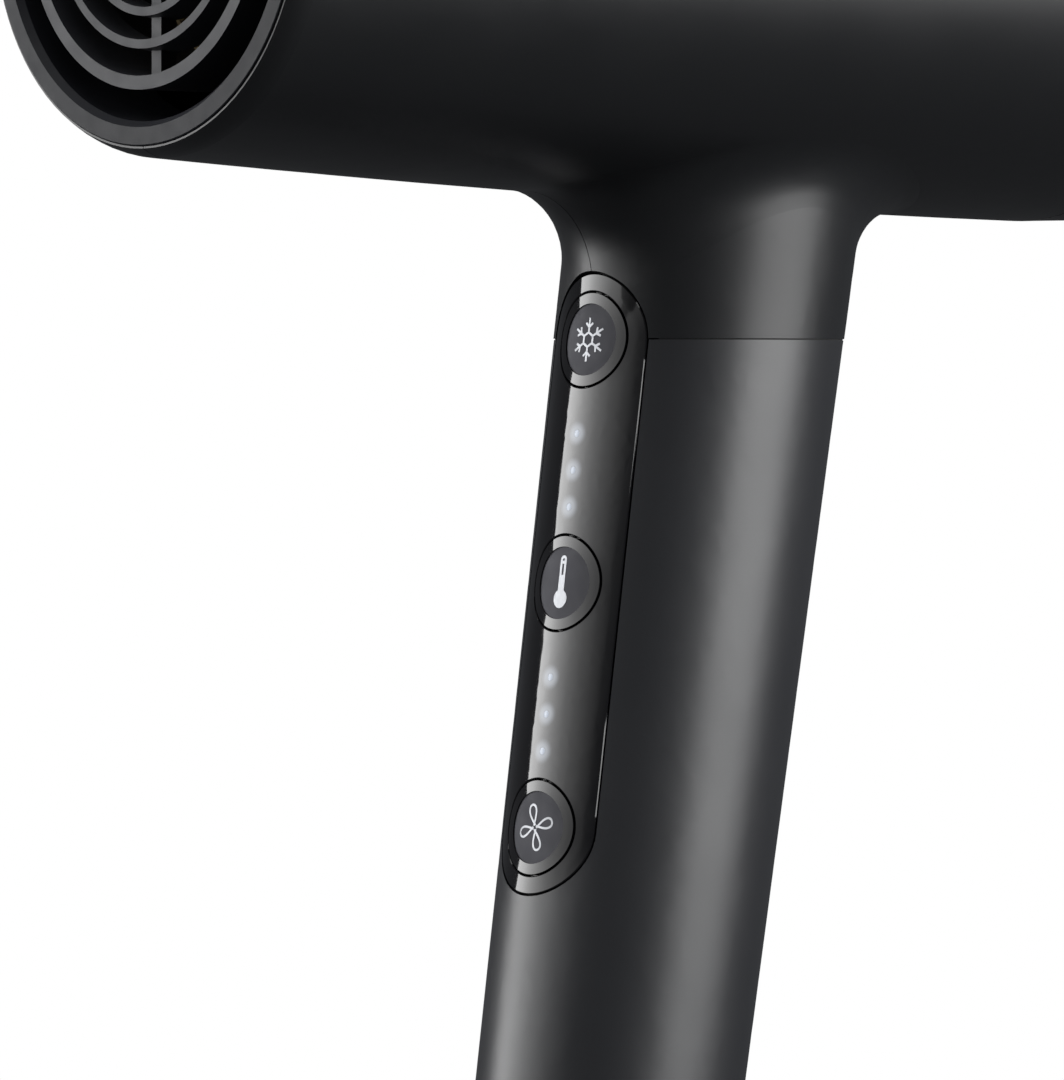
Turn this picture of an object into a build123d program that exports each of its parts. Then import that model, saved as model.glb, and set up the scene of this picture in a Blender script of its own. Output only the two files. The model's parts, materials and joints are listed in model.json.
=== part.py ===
from build123d import *
import os
from math import cos, radians, sin

# A hair dryer: a round barrel with the motor and heater in it, on a leaning oval handle.
# Millimetres. The origin is the middle of the handle's flat base, +Z is up, and the
# barrel blows towards -X. The dryer is symmetric about the XZ plane.

os.makedirs("parts", exist_ok=True)

# ---------------------------------------------------------------- driving dimensions

LEAN = 9.19                 # degrees that the handle leans back from upright
SEAM_HEIGHT = 152.0         # level seam between the handle sleeve and the head's neck
AXIS_HEIGHT = 208.1         # barrel axis above the base
OUTLET_X = -75.2            # outlet face
WALL = 2.0                  # wall of the shells and the sleeve
GAP = 0.3                   # free gap around pieces that move or are set in a window

# Half axes of the handle's oval section, at the base and at the seam
BASE_DEPTH = 18.6
BASE_WIDTH = 16.9
SEAM_DEPTH = 20.95
SEAM_WIDTH = 19.05

# Barrel stations are distances behind the outlet face
BEVEL_END = 3.8
BARREL_MIDDLE = 84.3
BARREL_REAR = 164.6
CAP_FRONT = BARREL_REAR + GAP
CAP_SHOULDER = 174.2
CAP_REAR = 181.0

# Barrel radii: it widens to the rear along a gentle crown
LIP_RADIUS = 31.75
BEVEL_RADIUS = 32.95
MIDDLE_RADIUS = 36.6
REAR_RADIUS = 38.5

NECK_FILLET = 12.5          # blend where the neck runs into the barrel
NECK_OVERHANG = 0.1         # the neck stands this far proud of the sleeve
SEAM_GAP = 0.2
PARTING_GAP = 0.12          # fine line between the two halves of the head

# Control panel and buttons
PANEL_RADIUS = 9.17         # half width and end radius of the strip
BUTTON_RADIUS = 6.46
FACE_RADIUS = 5.03
FACE_RECESS = 0.2
BUTTON_TRAVEL = 0.6
BUTTON_DROPS = {"cool_shot": 3.46, "temperature": 37.23, "airflow": 71.0}
LIGHT_DROPS = (13.1, 18.2, 23.2)   # lights below a button's centre

# Outlet grille: outer and inner radius and set-back of each ring
RIM_FACE_OUTER = 31.4
RIM_FACE_INNER = 28.97
RIM_BORE = 28.2
DUCT_OUTER = 24.1
DUCT_INNER = 22.3
GRILLE_RINGS = ((18.75, 17.58, 0.4), (14.49, 13.35, 0.8), (9.9, 8.85, 1.2))
GRILLE_HUB_RADIUS = 5.2
GRILLE_HUB_SETBACK = 1.6
GRILLE_DEPTH = 5.0
SPOKE_WIDTH = 1.95
SPOKE_SETBACK = 2.5

# Power switch on the handle's rear
SWITCH_TRAVEL = 5.0
KNOB_WIDTH = 13.0
KNOB_LENGTH = 11.0
KNOB_HEIGHT = 147.0         # knob's centre along the handle, switched on
KNOB_PROUD = 0.8
RIDGE_PROUD = 1.7

# ---------------------------------------------------------------- planes and axes

LEAN_SIN = sin(radians(LEAN))
LEAN_COS = cos(radians(LEAN))
SEAM_ALONG = SEAM_HEIGHT / LEAN_COS     # seam's distance from the base along the handle

# Up the handle's axis: local x is to the rear, y is across
GRIP = Plane(origin=(0, 0, 0), x_dir=(LEAN_COS, 0, -LEAN_SIN), z_dir=(LEAN_SIN, 0, LEAN_COS))
# Facing out of the handle's front: local x runs up the handle, y is across
FRONT = Plane(origin=(0, 0, 0), x_dir=(LEAN_SIN, 0, LEAN_COS), z_dir=(-LEAN_COS, 0, LEAN_SIN))
# Facing out of the handle's rear: local x runs up the handle
REAR = Plane(origin=(0, 0, 0), x_dir=(LEAN_SIN, 0, LEAN_COS), z_dir=(LEAN_COS, 0, -LEAN_SIN))
# Across the barrel at the outlet face, facing to the rear: local y is up
OUTLET = Plane(origin=(OUTLET_X, 0, AXIS_HEIGHT), x_dir=(0, 1, 0), z_dir=(1, 0, 0))
# Through the barrel's axis: local x is the distance behind the outlet, y the radius
AXIAL = Plane(origin=(OUTLET_X, 0, AXIS_HEIGHT), x_dir=(1, 0, 0), z_dir=(0, -1, 0))
BARREL_AXIS = Axis((OUTLET_X, 0, AXIS_HEIGHT), (1, 0, 0))

BUTTON_HEIGHTS = {name: SEAM_ALONG - drop for name, drop in BUTTON_DROPS.items()}
PANEL_TOP = BUTTON_HEIGHTS["cool_shot"]
PANEL_BOTTOM = BUTTON_HEIGHTS["airflow"]
LIGHT_HEIGHTS = [
    BUTTON_HEIGHTS[name] - drop for name in ("cool_shot", "temperature") for drop in LIGHT_DROPS
]


# ---------------------------------------------------------------- shared shapes

def half_depth(height):
    """Half of the handle's front-to-back size at a distance up its axis."""
    return BASE_DEPTH + (SEAM_DEPTH - BASE_DEPTH) * height / SEAM_ALONG


def half_width(height):
    """Half of the handle's side-to-side size at a distance up its axis."""
    return BASE_WIDTH + (SEAM_WIDTH - BASE_WIDTH) * height / SEAM_ALONG


def grip_form(low, high, inset):
    """The handle's tapering oval, drawn in by an inset, between two distances up its axis."""
    with BuildPart() as form:
        for height in (low, high):
            with BuildSketch(GRIP.offset(height)):
                Ellipse(half_depth(height) - inset, half_width(height) - inset)
        loft(ruled=True)
    return form.part


def barrel_ring(inner, outer, front, rear):
    """A plain ring about the barrel's axis; an inner radius of 0 makes it a disc."""
    with BuildPart() as ring:
        with BuildSketch(OUTLET.offset(front)):
            Circle(outer)
            if inner > 0:
                Circle(inner, mode=Mode.SUBTRACT)
        extrude(amount=rear - front)
    return ring.part


def barrel_turning(points):
    """A solid turned about the barrel's axis from (distance, radius) corners."""
    with BuildPart() as turning:
        with BuildSketch(AXIAL):
            with BuildLine():
                Polyline(*points, close=True)
            make_face()
        revolve(axis=BARREL_AXIS)
    return turning.part


def raked_blades(count, station, inner, outer, thickness, length, rake):
    """Flat blades around the barrel's axis, each turned by a rake about its own radius."""
    with BuildPart(OUTLET.offset(station)) as blades:
        with PolarLocations((inner + outer) / 2, count):
            Box(outer - inner, thickness, length, rotation=(rake, 0, 0))
    return blades.part


def head_form(inset, neck_inset, blend):
    """Barrel and neck as one solid, drawn in by an inset, with a blend between them."""
    with BuildPart() as form:
        with BuildSketch(AXIAL):
            with BuildLine():
                nose = (0.3, LIP_RADIUS - inset)
                bevel = (BEVEL_END, BEVEL_RADIUS - inset)
                rear = (BARREL_REAR, REAR_RADIUS - inset)
                ThreePointArc(nose, (1.7, 32.46 - inset), bevel)
                ThreePointArc(bevel, (BARREL_MIDDLE, MIDDLE_RADIUS - inset), rear)
                Polyline(rear, (BARREL_REAR, 0), (0.3, 0), nose)
            make_face()
        revolve(axis=BARREL_AXIS)
        add(grip_form(130, 200, neck_inset))
        joint_edges = form.edges(Select.NEW)
        blend_edges = joint_edges.filter_by(lambda edge: edge.center().Z < AXIS_HEIGHT - 10)
        blend_edges = blend_edges.filter_by(lambda edge: edge.center().Z > SEAM_HEIGHT + 10)
        fillet(blend_edges, radius=blend)
        split(bisect_by=Plane.XY.offset(SEAM_HEIGHT + SEAM_GAP / 2), keep=Keep.TOP)
    return form.part


def panel_cutter(radius, depth):
    """The control panel's stadium as a prism that enters the handle's front to a depth."""
    length = PANEL_TOP - PANEL_BOTTOM + 2 * radius
    with BuildPart() as cutter:
        with BuildSketch(FRONT.offset(depth)):
            with Locations(((PANEL_TOP + PANEL_BOTTOM) / 2, 0)):
                SlotOverall(length, 2 * radius)
        extrude(amount=30)
    return cutter.part


# ---------------------------------------------------------------- head shells

head_outside = head_form(0, -NECK_OVERHANG, NECK_FILLET)
head_inside = head_form(WALL, WALL, NECK_FILLET + WALL)


def head_half(side):
    """One half of the head: side is -1 for the left (-Y) half and 1 for the right."""
    with BuildPart() as half:
        add(head_outside)
        add(head_inside, mode=Mode.SUBTRACT)
        add(barrel_ring(0, RIM_FACE_OUTER + 0.1, -1, 3), mode=Mode.SUBTRACT)
        add(panel_cutter(PANEL_RADIUS + GAP, 5), mode=Mode.SUBTRACT)
        keep = Keep.TOP if side < 0 else Keep.BOTTOM
        split(bisect_by=Plane.XZ.offset(-side * PARTING_GAP / 2), keep=keep)
    return half.part


with BuildPart() as head_shell_left:
    add(head_half(-1))
head_shell_left.part.label = "head_shell_left"
export_step(head_shell_left.part, "parts/head_shell_left.step")

with BuildPart() as head_shell_right:
    add(head_half(1))
head_shell_right.part.label = "head_shell_right"
export_step(head_shell_right.part, "parts/head_shell_right.step")

# ---------------------------------------------------------------- outlet

# Rim: a flat gunmetal ring at the nose, with a skirt that slides into the shells
with BuildPart() as outlet_rim:
    add(barrel_turning((
        (0, RIM_FACE_INNER),
        (0, RIM_FACE_OUTER - 0.15),
        (0.15, RIM_FACE_OUTER),
        (3, RIM_FACE_OUTER),
        (3, 30.5),
        (15, 30.5),
        (15, RIM_BORE),
        (0.9, RIM_BORE),
    )))
outlet_rim.part.label = "outlet_rim"
export_step(outlet_rim.part, "parts/outlet_rim.step")

# Grille: the duct's front ring, dished rings that widen inwards, a hub and four spokes
with BuildPart() as outlet_grille:
    add(barrel_ring(DUCT_INNER, DUCT_OUTER, 0, 12))
    add(barrel_ring(DUCT_INNER, 23.1, 12, 16))
    for outer, inner, setback in GRILLE_RINGS:
        add(barrel_turning((
            (setback, inner),
            (setback, outer),
            (GRILLE_DEPTH, outer + 0.5),
            (GRILLE_DEPTH, inner),
        )))
    add(barrel_ring(0, GRILLE_HUB_RADIUS, GRILLE_HUB_SETBACK, GRILLE_DEPTH))
    with BuildSketch(OUTLET.offset(SPOKE_SETBACK)):
        with PolarLocations((GRILLE_HUB_RADIUS + DUCT_INNER) / 2 - 0.5, 4, start_angle=90):
            Rectangle(DUCT_INNER - GRILLE_HUB_RADIUS + 2, SPOKE_WIDTH)
    extrude(amount=GRILLE_DEPTH - SPOKE_SETBACK)
    corners = outlet_grille.edges().filter_by(Axis.X)
    fillet(corners.filter_by(lambda edge: edge.length < GRILLE_DEPTH), radius=0.5)
outlet_grille.part.label = "outlet_grille"
export_step(outlet_grille.part, "parts/outlet_grille.step")

# ---------------------------------------------------------------- heater

# Duct: carries the grille in front, and is flanged to the motor carrier behind
DUCT_REAR = 101.0
FLANGE_RADIUS = 28.0
FLANGE_SCREW_RADIUS = 26.0
with BuildPart() as heater_duct:
    add(barrel_ring(DUCT_INNER, DUCT_OUTER, 12, DUCT_REAR))
    add(barrel_ring(0, 23.1, 12, 16), mode=Mode.SUBTRACT)
    add(barrel_ring(DUCT_OUTER - 0.5, FLANGE_RADIUS, DUCT_REAR - 2, DUCT_REAR))
    # ribs that centre the duct in the barrel
    with BuildSketch(OUTLET.offset(60)):
        with PolarLocations((DUCT_OUTER + 33) / 2 - 0.3, 3, start_angle=90):
            Rectangle(33 - DUCT_OUTER + 0.6, 2)
    extrude(amount=30)
    # ports that let cool air out into the space around the duct
    with BuildSketch(OUTLET.offset(90)):
        with PolarLocations(DUCT_OUTER, 6, start_angle=60):
            Rectangle(8, 7)
    extrude(amount=6, mode=Mode.SUBTRACT)
    with BuildSketch(OUTLET.offset(DUCT_REAR - 2)):
        with PolarLocations(FLANGE_SCREW_RADIUS, 3, start_angle=30):
            Circle(1.1)
    extrude(amount=2, mode=Mode.SUBTRACT)
heater_duct.part.label = "heater_duct"
export_step(heater_duct.part, "parts/heater_duct.step")

with BuildPart() as mica_sleeve:
    add(barrel_ring(21.7, DUCT_INNER, 20, 86))
mica_sleeve.part.label = "mica_sleeve"
export_step(mica_sleeve.part, "parts/mica_sleeve.step")

# Two mica plates, slotted half and half to cross each other, notched for the coils
MICA_FRONT = 22.0
MICA_REAR = 84.0
MICA_MIDDLE = (MICA_FRONT + MICA_REAR) / 2
MICA_THICKNESS = 1.0
MICA_RADIUS = 20.6
COIL_RADIUS = 19.6
COIL_THICKNESS = 0.4
NOTCH_DEPTH = MICA_RADIUS - COIL_RADIUS + 0.05
COIL_WIDTH = 1.5
COIL_STATIONS = [27 + 6.5 * turn for turn in range(9)]


def mica_plate(slot_front, slot_rear):
    """A level mica plate with a centre slot over a stretch, and its coil notches."""
    length = MICA_REAR - MICA_FRONT
    with BuildPart() as plate:
        with BuildSketch(AXIAL):
            with Locations((MICA_MIDDLE, 0)):
                Rectangle(length, 2 * MICA_RADIUS)
            with Locations(((slot_front + slot_rear) / 2, 0)):
                Rectangle(slot_rear - slot_front, MICA_THICKNESS, mode=Mode.SUBTRACT)
            notches = [(s, side * MICA_RADIUS) for s in COIL_STATIONS for side in (-1, 1)]
            with Locations(notches):
                Rectangle(COIL_WIDTH, 2 * NOTCH_DEPTH, mode=Mode.SUBTRACT)
        extrude(amount=MICA_THICKNESS / 2, both=True)
    return plate.part


with BuildPart() as mica_plate_upright:
    add(mica_plate(MICA_FRONT - 1, MICA_MIDDLE))
mica_plate_upright.part.label = "mica_plate_upright"
export_step(mica_plate_upright.part, "parts/mica_plate_upright.step")

level_plate = mica_plate(MICA_MIDDLE, MICA_REAR + 1).rotate(BARREL_AXIS, 90)
with BuildPart() as mica_plate_level:
    add(level_plate)
mica_plate_level.part.label = "mica_plate_level"
export_step(mica_plate_level.part, "parts/mica_plate_level.step")

with BuildPart() as heating_coils:
    for station in COIL_STATIONS:
        front = station - COIL_WIDTH / 2
        add(barrel_ring(COIL_RADIUS, COIL_RADIUS + COIL_THICKNESS, front, front + COIL_WIDTH))
heating_coils.part.label = "heating_coils"
export_step(heating_coils.part, "parts/heating_coils.step")

# Cut-out block on the upright plate, and a fuse lying on the level plate
with BuildPart() as thermal_cutout:
    with BuildSketch(AXIAL.offset(MICA_THICKNESS / 2)):
        with Locations((72, 9)):
            Rectangle(9, 6)
    extrude(amount=3.5)
    fillet(thermal_cutout.edges().filter_by(Axis.Y), radius=0.8)
thermal_cutout.part.label = "thermal_cutout"
export_step(thermal_cutout.part, "parts/thermal_cutout.step")

FUSE_RADIUS = 1.6
with BuildPart() as thermal_fuse:
    with BuildSketch(OUTLET.offset(66)):
        with Locations((9, MICA_THICKNESS / 2 + FUSE_RADIUS)):
            Circle(FUSE_RADIUS)
    extrude(amount=11)
    chamfer(thermal_fuse.edges(), length=0.3)
thermal_fuse.part.label = "thermal_fuse"
export_step(thermal_fuse.part, "parts/thermal_fuse.step")

# ---------------------------------------------------------------- motor

HOUSING_OUTER = 17.6
HOUSING_INNER = 15.8
CARRIER_BORE = 20.2
CARRIER_OUTER = 21.8
HUB_OUTER = 9.6
HUB_BORE = 8.4
SHAFT_RADIUS = 1.5
BEARING_RADIUS = 4.0
VANE_COUNT = 9
BLADE_COUNT = 11

# Carrier: seals across the barrel, funnels the air in, and holds the motor in its tube
with BuildPart() as motor_carrier:
    add(barrel_turning((
        (DUCT_REAR, CARRIER_BORE),
        (DUCT_REAR, FLANGE_RADIUS),
        (DUCT_REAR + 2, FLANGE_RADIUS),
        (DUCT_REAR + 2, CARRIER_OUTER),
        (147, CARRIER_OUTER),
        (157, 36.2),
        (161, 36.2),
        (161, 34.4),
        (158, 34.4),
        (148, CARRIER_BORE),
    )))
    with BuildSketch(OUTLET.offset(DUCT_REAR)):
        with PolarLocations(FLANGE_SCREW_RADIUS, 3, start_angle=30):
            Circle(0.95)
    extrude(amount=2, mode=Mode.SUBTRACT)
motor_carrier.part.label = "motor_carrier"
export_step(motor_carrier.part, "parts/motor_carrier.step")

with BuildPart() as duct_screws:
    with BuildSketch(OUTLET.offset(DUCT_REAR - 2)):
        with PolarLocations(FLANGE_SCREW_RADIUS, 3, start_angle=30):
            Circle(0.95)
    extrude(amount=4)
    with BuildSketch(OUTLET.offset(DUCT_REAR - 3.4)):
        with PolarLocations(FLANGE_SCREW_RADIUS, 3, start_angle=30):
            Circle(1.75)
    extrude(amount=1.4)
duct_screws.part.label = "duct_screws"
export_step(duct_screws.part, "parts/duct_screws.step")

with BuildPart() as motor_damper_front:
    add(barrel_ring(HOUSING_OUTER, CARRIER_BORE, 108, 113))
motor_damper_front.part.label = "motor_damper_front"
export_step(motor_damper_front.part, "parts/motor_damper_front.step")

with BuildPart() as motor_damper_rear:
    add(barrel_ring(HOUSING_OUTER, CARRIER_BORE, 139, 144))
motor_damper_rear.part.label = "motor_damper_rear"
export_step(motor_damper_rear.part, "parts/motor_damper_rear.step")

# Housing: outer tube, raked guide vanes, and a hub that is closed in front
HUB_FRONT = 108.0
HUB_REAR = 137.0
with BuildPart() as motor_housing:
    add(barrel_ring(HUB_BORE, HUB_OUTER, HUB_FRONT, HUB_REAR))
    add(barrel_ring(BEARING_RADIUS, HUB_OUTER, HUB_FRONT, HUB_FRONT + 4))
    add(barrel_ring(0, HUB_OUTER, HUB_FRONT, HUB_FRONT + 1))
    add(raked_blades(VANE_COUNT, 122, HUB_OUTER - 0.3, HOUSING_INNER + 0.6, 1.1, 15, 20))
    add(barrel_ring(HOUSING_INNER, HOUSING_OUTER, 106, 154))
motor_housing.part.label = "motor_housing"
export_step(motor_housing.part, "parts/motor_housing.step")

# Stator: a core with six teeth, and a winding around each tooth
TOOTH_TIP = 4.4
CORE_BORE = 7.2
CORE_FRONT = 115.0
CORE_REAR = 129.0
with BuildPart() as motor_stator:
    with BuildSketch(OUTLET.offset(CORE_FRONT)):
        Circle(HUB_BORE)
        Circle(CORE_BORE, mode=Mode.SUBTRACT)
        with PolarLocations((TOOTH_TIP + CORE_BORE) / 2 + 0.1, 6):
            Rectangle(CORE_BORE - TOOTH_TIP + 0.2, 1.4)
        Circle(TOOTH_TIP, mode=Mode.SUBTRACT)
    extrude(amount=CORE_REAR - CORE_FRONT)
motor_stator.part.label = "motor_stator"
export_step(motor_stator.part, "parts/motor_stator.step")

with BuildPart() as motor_windings:
    with BuildSketch(OUTLET.offset(CORE_FRONT - 1)):
        with PolarLocations(5.9, 6):
            Rectangle(1.6, 3.0)
    extrude(amount=CORE_REAR - CORE_FRONT + 2)
    with BuildSketch(OUTLET.offset(CORE_FRONT)):
        with PolarLocations(5.9, 6):
            Rectangle(1.6, 1.4)
    extrude(amount=CORE_REAR - CORE_FRONT, mode=Mode.SUBTRACT)
motor_windings.part.label = "motor_windings"
export_step(motor_windings.part, "parts/motor_windings.step")

# Plate that closes the hub behind the windings and carries the rear bearing
PLATE_FRONT = 131.0
with BuildPart() as bearing_plate:
    add(barrel_ring(BEARING_RADIUS, HUB_BORE, PLATE_FRONT, HUB_REAR))
bearing_plate.part.label = "bearing_plate"
export_step(bearing_plate.part, "parts/bearing_plate.step")

BEARING_BORE = SHAFT_RADIUS + 0.06
with BuildPart() as front_bearing:
    add(barrel_ring(BEARING_BORE, BEARING_RADIUS, HUB_FRONT + 1, HUB_FRONT + 4))
front_bearing.part.label = "front_bearing"
export_step(front_bearing.part, "parts/front_bearing.step")

with BuildPart() as rear_bearing:
    add(barrel_ring(BEARING_BORE, BEARING_RADIUS, HUB_REAR - 4, HUB_REAR - 1))
rear_bearing.part.label = "rear_bearing"
export_step(rear_bearing.part, "parts/rear_bearing.step")

with BuildPart() as rotor_shaft:
    add(barrel_ring(0, SHAFT_RADIUS, HUB_FRONT + 1.4, 153))
    chamfer(rotor_shaft.edges(), length=0.2)
rotor_shaft.part.label = "rotor_shaft"
export_step(rotor_shaft.part, "parts/rotor_shaft.step")

with BuildPart() as rotor_magnet:
    add(barrel_ring(SHAFT_RADIUS, 3.8, CORE_FRONT, CORE_REAR))
rotor_magnet.part.label = "rotor_magnet"
export_step(rotor_magnet.part, "parts/rotor_magnet.step")

# Impeller: a hub that swells from a rounded nose, with raked blades
IMPELLER_FRONT = 139.0
IMPELLER_REAR = 153.0
BLADE_TIP = HOUSING_INNER - 0.4
with BuildPart() as impeller:
    add(barrel_ring(SHAFT_RADIUS, 8.2, IMPELLER_FRONT, IMPELLER_REAR))
    fillet(impeller.edges().group_by(Axis.X)[-1].sort_by(SortBy.RADIUS)[-1], radius=5)
    add(raked_blades(BLADE_COUNT, 145.5, 6, BLADE_TIP + 2, 0.9, 10.5, -42))
    add(barrel_ring(BLADE_TIP, 30, 130, 160), mode=Mode.SUBTRACT)
impeller.part.label = "impeller"
export_step(impeller.part, "parts/impeller.step")

# ---------------------------------------------------------------- rear intake

# Guard: a fixed ring and bars behind the motor, with magnets that hold the cap
GUARD_RADIUS = 36.1
GUARD_INNER = 32.4
GUARD_REAR = 167.0
MAGNET_RADIUS = 34.4
MAGNET_SIZE = 1.3
with BuildPart() as inlet_guard:
    add(barrel_ring(GUARD_INNER, GUARD_RADIUS, 161, GUARD_REAR))
    for radius in (9, 17, 25):
        add(barrel_ring(radius - 0.7, radius + 0.7, 163, 165))
    with BuildSketch(OUTLET.offset(163)):
        with PolarLocations((GUARD_INNER + 8.5) / 2, 8):
            Rectangle(GUARD_INNER - 8, 1.2)
    extrude(amount=2)
    add(barrel_ring(0, 3.2, 163, 165))
    with BuildSketch(OUTLET.offset(163)):
        Rectangle(18, 1.2)
        Rectangle(1.2, 18)
    extrude(amount=2)
    with BuildSketch(OUTLET.offset(GUARD_REAR - 2)):
        with PolarLocations(MAGNET_RADIUS, 6, start_angle=30):
            Circle(MAGNET_SIZE)
    extrude(amount=2, mode=Mode.SUBTRACT)
inlet_guard.part.label = "inlet_guard"
export_step(inlet_guard.part, "parts/inlet_guard.step")

with BuildPart() as guard_magnets:
    with BuildSketch(OUTLET.offset(GUARD_REAR - 2)):
        with PolarLocations(MAGNET_RADIUS, 6, start_angle=30):
            Circle(MAGNET_SIZE)
    extrude(amount=1.8)
guard_magnets.part.label = "guard_magnets"
export_step(guard_magnets.part, "parts/guard_magnets.step")

# Filter cap: continues the barrel's crown, turns in to a flat face of ring slots,
# and has an inner shelf that carries the mesh and the magnets
CAP_INNER = REAR_RADIUS - WALL
SLOT_RADII = (25.5, 20.5, 15.5, 10.5)
SLOT_WIDTH = 2.6
CAP_SPOKES = 6
SHELF_FRONT = GUARD_REAR + GAP
SHELF_REAR = SHELF_FRONT + 3
with BuildPart() as filter_cap:
    with BuildSketch(AXIAL):
        with BuildLine():
            Polyline((CAP_FRONT, CAP_INNER), (CAP_FRONT, REAR_RADIUS), (CAP_SHOULDER, REAR_RADIUS - 0.25))
            TangentArc((CAP_SHOULDER, REAR_RADIUS - 0.25), (CAP_REAR, REAR_RADIUS - 7.2), tangent=(1, 0))
            Polyline(
                (CAP_REAR, REAR_RADIUS - 7.2),
                (CAP_REAR, 0),
                (CAP_REAR - WALL, 0),
                (CAP_REAR - WALL, REAR_RADIUS - 8),
                (CAP_SHOULDER, CAP_INNER - 0.4),
                (CAP_FRONT, CAP_INNER),
            )
        make_face()
    revolve(axis=BARREL_AXIS)
    add(barrel_ring(GUARD_INNER, CAP_INNER - 0.3, SHELF_FRONT, SHELF_REAR))
    add(barrel_ring(GUARD_INNER + 2, CAP_INNER + 0.5, SHELF_FRONT + 1, SHELF_REAR))
    with BuildSketch(OUTLET.offset(CAP_REAR - WALL - 0.5)):
        for radius in SLOT_RADII:
            Circle(radius + SLOT_WIDTH / 2)
            Circle(radius - SLOT_WIDTH / 2, mode=Mode.SUBTRACT)
        with PolarLocations(0, CAP_SPOKES):
            with Locations((15, 0)):
                Rectangle(40, 2, mode=Mode.SUBTRACT)
    extrude(amount=4, mode=Mode.SUBTRACT)
    with BuildSketch(OUTLET.offset(SHELF_FRONT)):
        with PolarLocations(MAGNET_RADIUS, 6, start_angle=30):
            Circle(MAGNET_SIZE)
    extrude(amount=2, mode=Mode.SUBTRACT)
filter_cap.part.label = "filter_cap"
export_step(filter_cap.part, "parts/filter_cap.step")

with BuildPart() as cap_magnets:
    with BuildSketch(OUTLET.offset(SHELF_FRONT + 0.1)):
        with PolarLocations(MAGNET_RADIUS, 6, start_angle=30):
            Circle(MAGNET_SIZE)
    extrude(amount=1.9)
cap_magnets.part.label = "cap_magnets"
export_step(cap_magnets.part, "parts/cap_magnets.step")

with BuildPart() as filter_mesh:
    add(barrel_ring(0, 34.0, SHELF_REAR, SHELF_REAR + 0.5))
filter_mesh.part.label = "filter_mesh"
export_step(filter_mesh.part, "parts/filter_mesh.step")

# ---------------------------------------------------------------- handle shells

# Sleeve: the tube under the seam, with windows for the panel and the power switch
CAP_EDGE = 2.6
CAP_GAP = 0.2
WINDOW_LENGTH = KNOB_LENGTH + SWITCH_TRAVEL + 2 * GAP
WINDOW_CENTRE = KNOB_HEIGHT - SWITCH_TRAVEL / 2
CORE_WALL = 1.8
CORE_LOW = 16.0
CORE_HIGH = 169.0
with BuildPart() as handle_sleeve:
    add(grip_form(-8, 170, 0))
    add(grip_form(-9, 171, WALL), mode=Mode.SUBTRACT)
    split(bisect_by=Plane.XY.offset(CAP_EDGE + CAP_GAP), keep=Keep.TOP)
    split(bisect_by=Plane.XY.offset(SEAM_HEIGHT - SEAM_GAP / 2), keep=Keep.BOTTOM)
    add(panel_cutter(PANEL_RADIUS + GAP, 5), mode=Mode.SUBTRACT)
    with BuildSketch(REAR.offset(5)):
        with Locations((WINDOW_CENTRE, 0)):
            RectangleRounded(WINDOW_LENGTH, KNOB_WIDTH + 2 * GAP, 3 + GAP)
    extrude(amount=30, mode=Mode.SUBTRACT)
handle_sleeve.part.label = "handle_sleeve"
export_step(handle_sleeve.part, "parts/handle_sleeve.step")

# Core: the chassis tube in the sleeve, which runs up into the neck. It has rails for the
# board, a shelf for the switch, openings behind the panel and bosses for the end cap.
BOARD_FRONT = 9.5           # board's front face ahead of the handle's axis
BOARD_THICKNESS = 1.6
BOARD_BACK = BOARD_FRONT - BOARD_THICKNESS
BOARD_LOW = 66.0
BOARD_HIGH = 163.0
BOARD_WIDTH = 21.6
BOARD_SCREWS = [(height, side * 9.2) for height in (69.5, 159.5) for side in (-1, 1)]
EAR_REACH = 8.0
STEM_WIDTH = 4.0
STEM_LENGTH = 3.0
STEM_SLOT = (STEM_LENGTH + SWITCH_TRAVEL + 2 * 0.35, STEM_WIDTH + 2 * 0.35)
SHELF_FACE = 9.0            # switch shelf's outer face behind the handle's axis
LIGHT_SLOT = (15.0, 4.0)
RAIL_THICKNESS = 2.5
RAIL_WIDTH = 9.0
RAIL_OFFSET = 12.5
SHELF_THICKNESS = 2.0
SHELF_LENGTH = 20.0
BOSS_OFFSET = 11.6
BOSS_RADIUS = 2.6
BOSS_LENGTH = 11.0
BOARD_SCREW_RADIUS = 0.8
CAP_SCREW_RADIUS = 1.0
BOSS_POINTS = [(0, -BOSS_OFFSET), (0, BOSS_OFFSET)]
light_centres = [(LIGHT_HEIGHTS[1], 0), (LIGHT_HEIGHTS[4], 0)]
with BuildPart() as core_fittings:
    # rails behind the board
    with BuildSketch(FRONT.offset(BOARD_BACK - RAIL_THICKNESS)):
        with Locations(*[((BOARD_LOW + BOARD_HIGH) / 2, side * RAIL_OFFSET) for side in (-1, 1)]):
            Rectangle(BOARD_HIGH - BOARD_LOW, RAIL_WIDTH)
    extrude(amount=RAIL_THICKNESS)
    # shelf under the power switch
    with BuildSketch(REAR.offset(SHELF_FACE - SHELF_THICKNESS)):
        with Locations((WINDOW_CENTRE, 0)):
            Rectangle(SHELF_LENGTH, 2 * SEAM_WIDTH)
    extrude(amount=SHELF_THICKNESS)
    # bosses for the end cap's screws
    with BuildSketch(GRIP.offset(CORE_LOW)):
        with Locations(*BOSS_POINTS):
            Circle(BOSS_RADIUS)
    extrude(amount=BOSS_LENGTH)
    add(grip_form(CORE_LOW - 1, CORE_HIGH + 1, WALL + 0.5), mode=Mode.INTERSECT)

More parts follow.
